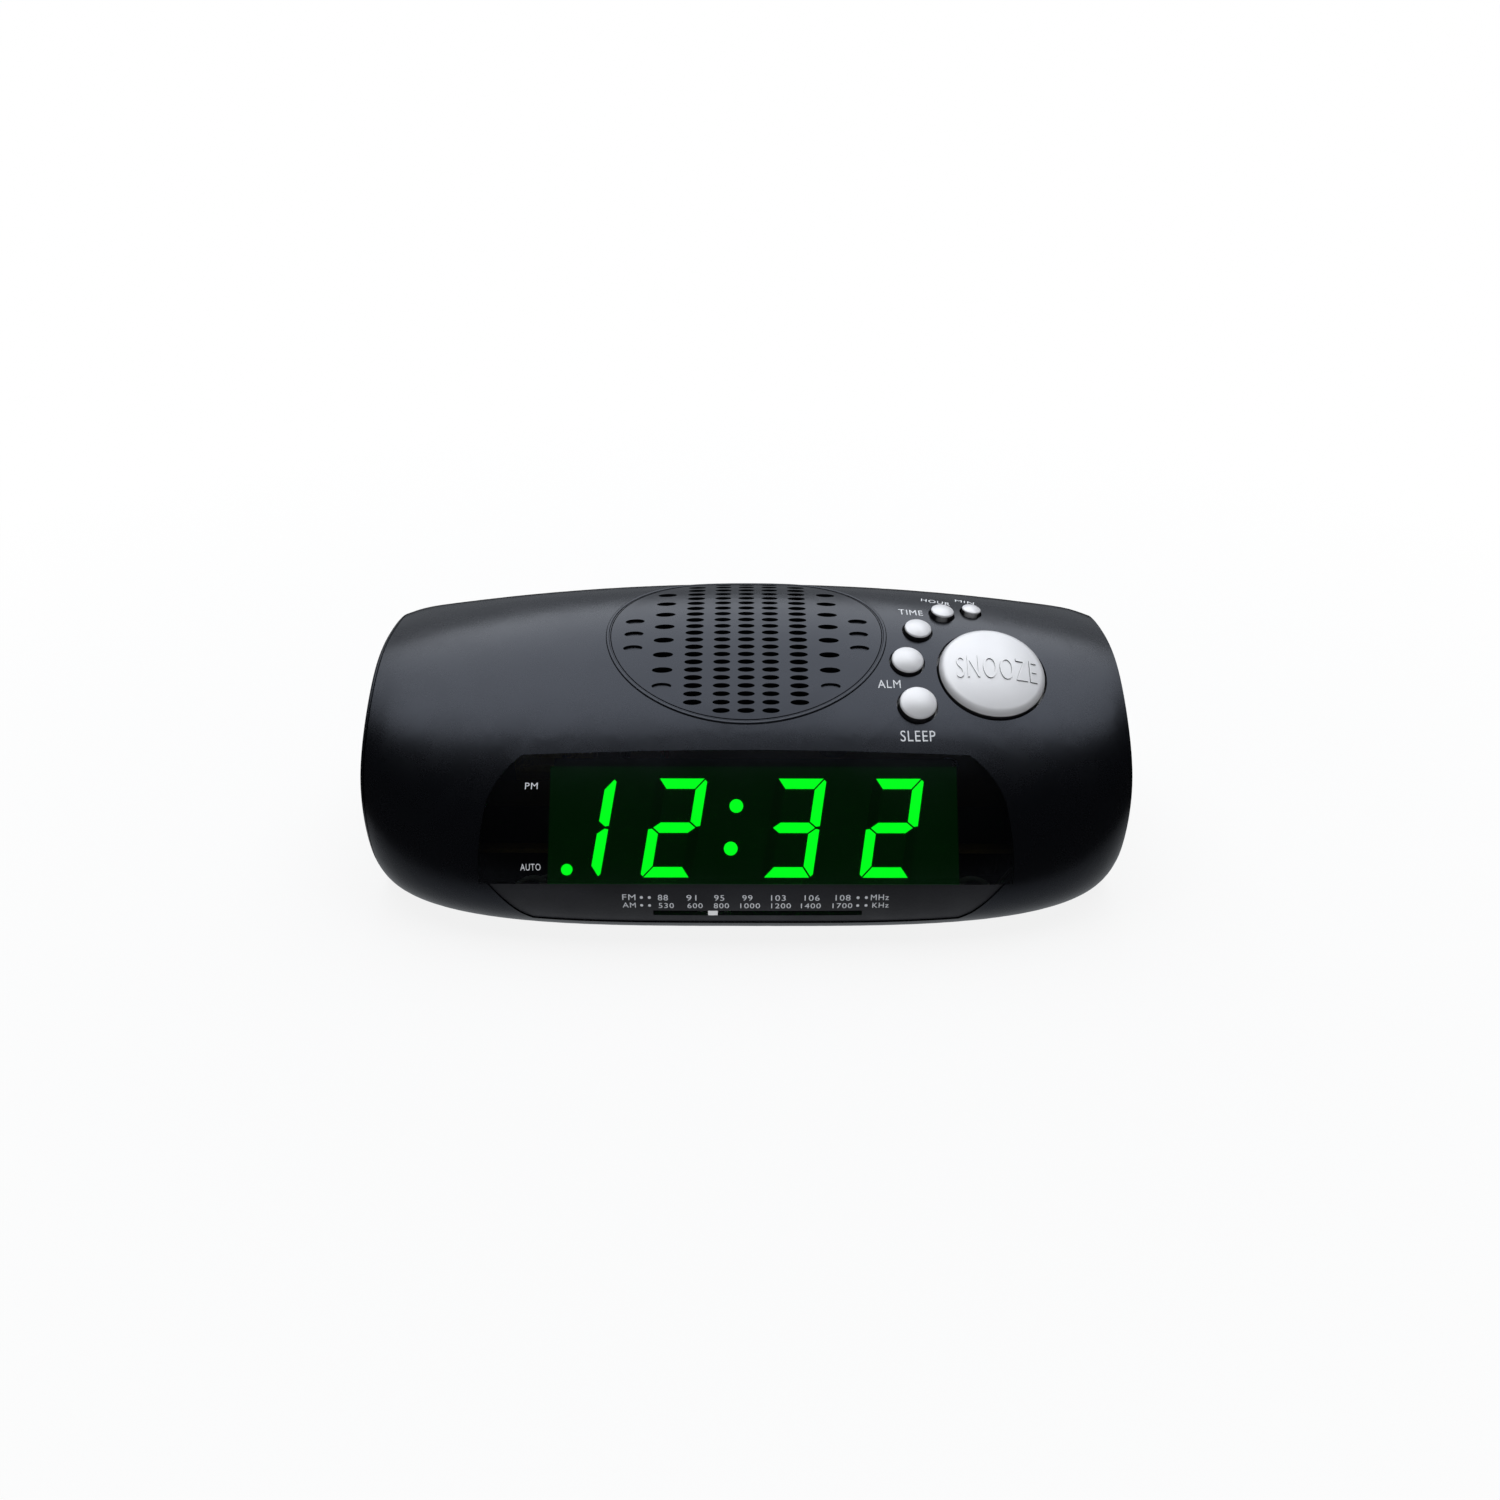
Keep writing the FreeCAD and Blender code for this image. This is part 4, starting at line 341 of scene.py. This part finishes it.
silver = make_button_paint_and_wall_shade()
board = make_board()
laminations = make_laminations()
winding = make_wound("transformer_tape", (0.62, 0.42, 0.05), 60.0, "Z", 0.30)
litz = make_wound("litz_winding", (0.55, 0.24, 0.09), 700.0, "X")
cans = make_cans()
chips = make_chips(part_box("integrated_circuits")[0].z)
wires = make_wires()
cone = finish("cone_paper", (0.028, 0.026, 0.025), 0.85, grain=1500.0, depth=8e-5, mottle=0.3)
lens = make_lens()
lit = make_glow("lit_segment", (0.0, 1.0, 0.012), 4.2, (0.02, 0.30, 0.03))
# Painted glow: the unlit segments and the display's face are not lit, yet emit a weak green standing
# in for the dim green they show behind the window.
unlit_painted_glow = make_glow("unlit_segment_painted_glow", (0.0, 1.0, 0.05), 0.015, (0.001, 0.010, 0.002))
display_face_painted_glow = make_glow("display_face_painted_glow", (0.0, 1.0, 0.06), 0.021, (0.001, 0.010, 0.002))

FINISHES = {
    "main_shell": housing, "end_cap_left": housing, "end_cap_right": housing,
    "speaker_grille": grille, "bottom_cover": underside, "battery_door": underside,
    "dial_strip": strip, "display_lens": lens,
    "snooze_button": silver, "sleep_button": silver, "alarm_button": silver,
    "time_button": silver, "hour_button": silver, "minute_button": silver,
    "tuning_wheel": knob, "volume_wheel": knob, "function_slider": knob, "band_slider": knob,
    "rubber_feet": rubber, "power_cord": flex, "power_plug": flex, "wire_aerial": flex,
    "housing_screws": zinc, "board_screws": zinc, "small_screws": zinc, "speaker_clamps": zinc,
    "transformer_bracket": zinc, "pointer_rail": zinc, "pulley_pins": zinc, "speaker_frame": zinc,
    "backup_cell": nickel, "cell_contact": nickel,
    "plug_blades": brass, "tuning_shaft": brass, "volume_shaft": brass,
    "main_board": board, "display_board": display_mask, "front_button_board": board,
    "rear_button_board": board,
    "tact_switches": switch_case, "volume_control": switch_case, "function_switch": switch_case,
    "band_switch": switch_case, "tuning_capacitor": varicap,
    "dial_pointer": pointer_white, "cord_pulley_left": nylon, "cord_pulley_right": nylon,
    "ferrite_rod": ceramic, "ferrite_coil": litz, "speaker_magnet": ceramic, "speaker_cone": cone,
    "transformer_core": laminations, "transformer_winding": winding,
    "electrolytic_capacitors": cans, "integrated_circuits": chips,
    "internal_wiring": wires, "dial_cord": string,
    "lit_segments": lit, "dark_segments": unlit_painted_glow, "led_display": display_face_painted_glow,
}
for name, node in frame["nodes"].items():
    for material_slot in node.material_slots:
        material_slot.material = FINISHES[name].material


# ---------------------------------------------------------------- pieces laid on the surfaces
depsgraph = bpy.context.evaluated_depsgraph_get()
SURFACES = {}


def surface(node):
    if node not in SURFACES:
        SURFACES[node] = BVHTree.FromObject(frame["nodes"][node], depsgraph)
    return SURFACES[node]


DROP_START = 0.008          # how far outside its point a drop starts, and how long it may fall
DROP_LENGTH = 0.03


def drop(node, point, out):
    """Where the line through a point along out meets a node's outside, with its normal."""
    hit, normal = surface(node).ray_cast(point + out * DROP_START, -out, DROP_LENGTH)[:2]
    if hit is None:
        return point, out
    return hit, normal if normal.dot(out) > 0 else -normal


TILE = 0.15                 # size of the tiles that lettering is cut into, as a share of its type size


def cut_in_tiles(bm):
    """Cut a flat mesh along a grid, so that its pieces can follow a curved surface."""
    for axis in (0, 1):
        low = min(v.co[axis] for v in bm.verts)
        high = max(v.co[axis] for v in bm.verts)
        count = math.ceil((high - low) / TILE)
        normal = [0.0, 0.0, 0.0]
        normal[axis] = 1.0
        for i in range(1, count):
            spot = [0.0, 0.0, 0.0]
            spot[axis] = low + (high - low) * i / count
            bmesh.ops.bisect_plane(bm, geom=bm.verts[:] + bm.edges[:] + bm.faces[:], dist=1e-5,
                                   plane_co=spot, plane_no=normal)


def flat_words(words):
    """Filled outline of some words as a flat mesh of small tiles."""
    curve = bpy.data.curves.new("words", "FONT")
    curve.body = words
    curve.resolution_u = 5
    curve.space_character = 1.12
    holder = bpy.data.objects.new("words", curve)
    mesh = bpy.data.meshes.new_from_object(holder)
    bpy.data.objects.remove(holder)
    bpy.data.curves.remove(curve)
    bm = bmesh.new()
    bm.from_mesh(mesh)
    bpy.data.meshes.remove(mesh)
    cut_in_tiles(bm)
    bm.verts.index_update()
    points = [v.co.xy.copy() for v in bm.verts]
    polygons = [tuple(v.index for v in face.verts) for face in bm.faces]
    bm.free()
    return points, polygons


def flat_disc(sides=20):
    points = [Vector((math.cos(2 * math.pi * i / sides), math.sin(2 * math.pi * i / sides)))
              for i in range(sides)]
    return points, [tuple(range(sides))]


def lay(bm, shape, node, centre, across, out, width, height, proud, sunk=5e-5):
    """Lay a flat shape on a node's surface as a thin plate, fitted to a width and height."""
    points, polygons = shape
    low = Vector((min(p.x for p in points), min(p.y for p in points)))
    high = Vector((max(p.x for p in points), max(p.y for p in points)))
    out = out.normalized()
    across = (across - across.dot(out) * out).normalized()
    up = out.cross(across)
    tops, bottoms = [], []
    for p in points:
        a = ((p.x - low.x) / (high.x - low.x) - 0.5) * width
        b = ((p.y - low.y) / (high.y - low.y) - 0.5) * height
        spot, normal = drop(node, centre + across * a + up * b, out)
        tops.append(bm.verts.new(spot + normal * proud))
        bottoms.append(bm.verts.new(spot - normal * sunk))
    used = {}
    for polygon in polygons:
        bm.faces.new([tops[i] for i in polygon])
        bm.faces.new([bottoms[i] for i in reversed(polygon)])
        for i, j in zip(polygon, polygon[1:] + polygon[:1]):
            used.setdefault(frozenset((i, j)), []).append((i, j))
    for sides in used.values():
        if len(sides) == 1:
            i, j = sides[0]
            bm.faces.new([tops[j], tops[i], bottoms[i], bottoms[j]])


def piece(name, bm, material, body, smooth=False):
    bmesh.ops.remove_doubles(bm, verts=bm.verts, dist=1e-7)
    bmesh.ops.recalc_face_normals(bm, faces=bm.faces)
    mesh = bpy.data.meshes.new(name)
    bm.to_mesh(mesh)
    bm.free()
    mesh.materials.append(material)
    for polygon in mesh.polygons:
        polygon.use_smooth = smooth
    made = bpy.data.objects.new(name, mesh)
    bpy.context.scene.collection.objects.link(made)
    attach(made, body)


# Heights above the surface: paint for printing, and a moulded rise for the raised word.
PAINT = 2e-5
LEGEND_PAINT = 2.5e-5
RAISED = 3.0e-4

# Button legends on the housing: words, centre, end of baseline minus start, width, cap height.
BUTTON_LEGENDS = [
    ("SLEEP", (50.5, -24.2, 53.4), (10.5, 0.3, -0.2), 10.3, 3.5),
    ("ALM", (43.0, -9.1, 62.5), (6.9, 0.2, -0.1), 6.9, 2.9),
    ("TIME", (52.2, 19.9, 72.6), (7.6, 0.1, -0.5), 7.7, 2.9),
    ("HOUR", (61.3, 28.3, 72.5), (9.2, -1.6, -0.9), 9.4, 2.2),
    ("MIN", (71.2, 30.7, 71.3), (6.1, -0.9, -0.7), 6.2, 1.9),
]
legends = bmesh.new()
for words, centre, run, width, cap in BUTTON_LEGENDS:
    middle = at(*centre)
    outward = drop("main_shell", middle + Vector((0, 0, 0.001)), Vector((0, -0.3, 0.95)))[1]
    lay(legends, flat_words(words), "main_shell", middle, Vector(run), outward,
        width / 1000, cap / 1000, LEGEND_PAINT)
piece("button_legends", legends, print_white.material, "housing")

# Raised word on the large button.
snooze_axis = -Vector(next(j["axis"] for j in frame["joints"] if j["child"] == "snooze_key"))
letters = bmesh.new()
lay(letters, flat_words("SNOOZE"), "snooze_button", at(75.7, -5.9, 66.6),
    Vector((24.4, -0.2, -2.1)), snooze_axis, 0.0244, 0.0082, RAISED, 1e-4)
piece("snooze_letters", letters, silver.material, "snooze_key")

# Dial scale: two rows of figures with their units, each centred at x.
SCALE_ROWS = [
    (17.5, 1.75, [("FM", -33.6, 3.8), ("88", -23.8, 2.9), ("91", -15.6, 2.9), ("95", -7.6, 2.9),
                  ("99", 0.5, 2.9), ("103", 9.4, 4.2), ("106", 19.1, 4.3), ("108", 28.0, 4.3),
                  ("MHz", 38.6, 5.2)], (-30.0, -27.7, 32.3, 34.7)),
    (14.9, 1.75, [("AM", -33.6, 3.8), ("530", -22.9, 4.4), ("600", -14.6, 4.4), ("800", -7.0, 4.4),
                  ("1000", 1.3, 5.7), ("1200", 10.2, 5.7), ("1400", 18.8, 5.7),
                  ("1700", 27.9, 5.7), ("KHz", 38.9, 4.7)], (-30.0, -27.7, 32.3, 34.7)),
]
DOT = 9e-4
AHEAD = Vector((0, -1, 0))
ACROSS = Vector((1, 0, 0))
scale = bmesh.new()
for z, cap, figures, dots in SCALE_ROWS:
    for words, x, width in figures:
        lay(scale, flat_words(words), "dial_strip", at(x, -55.0, z), ACROSS, AHEAD,
            width / 1000, cap / 1000, PAINT)
    for x in dots:
        lay(scale, flat_disc(), "dial_strip", at(x, -55.0, z), ACROSS, AHEAD, DOT, DOT, PAINT)
piece("dial_scale", scale, scale_white.material, "housing")

# Two small marks printed on the window.
WINDOW_FACE = Vector((0, -0.75, 0.66))
MARK_CAP = 0.0019
marks = bmesh.new()
for words, centre, width in (("PM", (-62.1, -35.9, 43.4), 3.7), ("AUTO", (-61.8, -50.6, 25.2), 5.9)):
    lay(marks, flat_words(words), "display_lens", at(*centre), ACROSS, WINDOW_FACE,
        width / 1000, MARK_CAP, PAINT)
piece("window_marks", marks, print_white.material, "housing")


def make_grille_bead():
    """Low rounded bead on the housing round the oval opening, in plastic painted lighter than the
    housing as a painted highlight.
    """
    low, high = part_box("speaker_grille")
    middle = (low + high) / 2
    outside = 0.0011                    # from the insert's edge to the middle of the bead
    half_x = (high.x - low.x) / 2 + outside
    half_y = (high.y - low.y) / 2 + outside
    count, wide, tall = 192, 0.00055, 0.00030
    section = [(-1.0, -1.0), (-1.0, 0.0), (-0.75, 0.62), (-0.4, 0.92), (0.0, 1.0), (0.4, 0.92),
               (0.75, 0.62), (1.0, 0.0), (1.0, -1.0)]
    bm = bmesh.new()
    rings = []
    for i in range(count):
        angle = 2 * math.pi * i / count
        above = Vector((middle.x + half_x * math.cos(angle), middle.y + half_y * math.sin(angle),
                        high.z))
        foot, normal = drop("main_shell", above, Vector((0, 0, 1)))
        outward = Vector((math.cos(angle) / half_x, math.sin(angle) / half_y, 0)).normalized()
        outward = (outward - outward.dot(normal) * normal).normalized()
        rings.append([bm.verts.new(foot + outward * a * wide + normal * b * tall)
                      for a, b in section])
    for i in range(count):
        near, far = rings[i], rings[(i + 1) % count]
        for j in range(len(section)):
            k = (j + 1) % len(section)
            bm.faces.new([near[j], far[j], far[k], near[k]])
    piece("grille_bead", bm, bead_painted_highlight.material, "housing", smooth=True)


make_grille_bead()

# ---------------------------------------------------------------- stage, light and camera
FLOOR_HALF = 12.0
floor_mesh = bpy.data.meshes.new("floor")
floor_mesh.from_pydata([(-FLOOR_HALF, -FLOOR_HALF, 0), (FLOOR_HALF, -FLOOR_HALF, 0),
                        (FLOOR_HALF, FLOOR_HALF, 0), (-FLOOR_HALF, FLOOR_HALF, 0)],
                       [], [(0, 1, 2, 3)])
floor = bpy.data.objects.new("floor", floor_mesh)
bpy.context.scene.collection.objects.link(floor)


def make_floor():
    """Pale sweep: shaded near the object, plain white further off, dim in reflections and clear
    from below."""
    shader = Shader("pale_floor")
    shader.set(Base_Color=(0.86, 0.86, 0.86), Roughness=0.9)
    shader.surface.inputs["Specular IOR Level"].default_value = 0.0
    white = shader.node("ShaderNodeEmission")
    white.inputs["Color"].default_value = (1, 1, 1, 1)
    dim = shader.node("ShaderNodeEmission")
    dim.inputs["Color"].default_value = (0.92, 0.96, 1.0, 1)
    away = shader.node("ShaderNodeVectorMath", operation="LENGTH")
    shader.feed(away.inputs[0], shader.place)
    shader.feed(dim.inputs["Strength"], shader.spread(away.outputs["Value"], 0.36, 0.012, 0.12, 0.22))
    far = shader.spread(away.outputs["Value"], 0.86, 1.0, 0.16, 0.50)
    seen = shader.node("ShaderNodeMixShader")
    shader.feed(seen.inputs[0], far)
    shader.links.new(shader.surface.outputs[0], seen.inputs[1])
    shader.links.new(white.outputs[0], seen.inputs[2])
    path = shader.node("ShaderNodeLightPath")
    final = shader.node("ShaderNodeMixShader")
    shader.feed(final.inputs[0], path.outputs["Is Glossy Ray"])
    shader.links.new(seen.outputs[0], final.inputs[1])
    shader.links.new(dim.outputs[0], final.inputs[2])
    clear = shader.node("ShaderNodeBsdfTransparent")
    sided = shader.node("ShaderNodeMixShader")
    shader.feed(sided.inputs[0], shader.node("ShaderNodeNewGeometry").outputs["Backfacing"])
    shader.links.new(final.outputs[0], sided.inputs[1])
    shader.links.new(clear.outputs[0], sided.inputs[2])
    shader.links.new(sided.outputs[0], shader.output.inputs["Surface"])
    return shader


floor_mesh.materials.append(make_floor().material)


def make_studio():
    """World that shows plain white, but lights the object as a room dark in front, pale behind."""
    world = bpy.data.worlds.new("studio")
    world.use_nodes = True
    made = world.node_tree.nodes.new
    link = world.node_tree.links.new
    backdrop = world.node_tree.nodes["Background"]
    backdrop.inputs["Color"].default_value = (1, 1, 1, 1)
    room = made("ShaderNodeBackground")
    room.inputs["Color"].default_value = (0.88, 0.93, 1.0, 1)
    direction = made("ShaderNodeSeparateXYZ")
    rearward = made("ShaderNodeMapRange")
    for key, limit in (("From Min", 0.15), ("From Max", 0.9), ("To Min", 0.012), ("To Max", 0.42)):
        rearward.inputs[key].default_value = limit
    choose = made("ShaderNodeMixShader")
    link(made("ShaderNodeTexCoord").outputs["Generated"], direction.inputs[0])
    link(direction.outputs["Y"], rearward.inputs["Value"])
    link(rearward.outputs["Result"], room.inputs["Strength"])
    link(made("ShaderNodeLightPath").outputs["Is Camera Ray"], choose.inputs[0])
    link(room.outputs[0], choose.inputs[1])
    link(backdrop.outputs[0], choose.inputs[2])
    link(choose.outputs[0], world.node_tree.nodes["World Output"].inputs["Surface"])
    return world


bpy.context.scene.world = make_studio()


def softbox(name, place, aim, width, depth, power, mirrored=True):
    light = bpy.data.lights.new(name, "AREA")
    light.shape = "RECTANGLE"
    light.size, light.size_y = width, depth
    light.energy = power
    light.color = (0.95, 0.975, 1.0)
    holder = bpy.data.objects.new(name, light)
    holder.location = place
    holder.rotation_mode = "QUATERNION"
    holder.rotation_quaternion = (Vector(aim) - Vector(place)).to_track_quat("-Z", "Y")
    holder.visible_glossy = mirrored
    bpy.context.scene.collection.objects.link(holder)


softbox("overhead", (0, 0.70, 1.25), (0, 0.70, 0), 1.9, 1.9, 28.0)
softbox("front_fill", (0, -1.6, 0.9), (0, 0, 0.03), 1.2, 0.8, 5.0, mirrored=False)

EYE = at(0.779, -304.503, 222.573)
TARGET = at(0.0, -6.842, 36.284)
camera_data = bpy.data.cameras.new("camera")
camera_data.sensor_width = 36.0
camera_data.lens = 26.762
camera_data.shift_x, camera_data.shift_y = 0.0026, 0.00254
camera_data.clip_start = 0.01
camera = bpy.data.objects.new("camera", camera_data)
camera.location = EYE
camera.rotation_mode = "QUATERNION"
camera.rotation_quaternion = (TARGET - EYE).to_track_quat("-Z", "Y")
bpy.context.scene.collection.objects.link(camera)
bpy.context.scene.camera = camera
bpy.context.scene.view_settings.view_transform = "Standard"

bpy.context.view_layer.update()
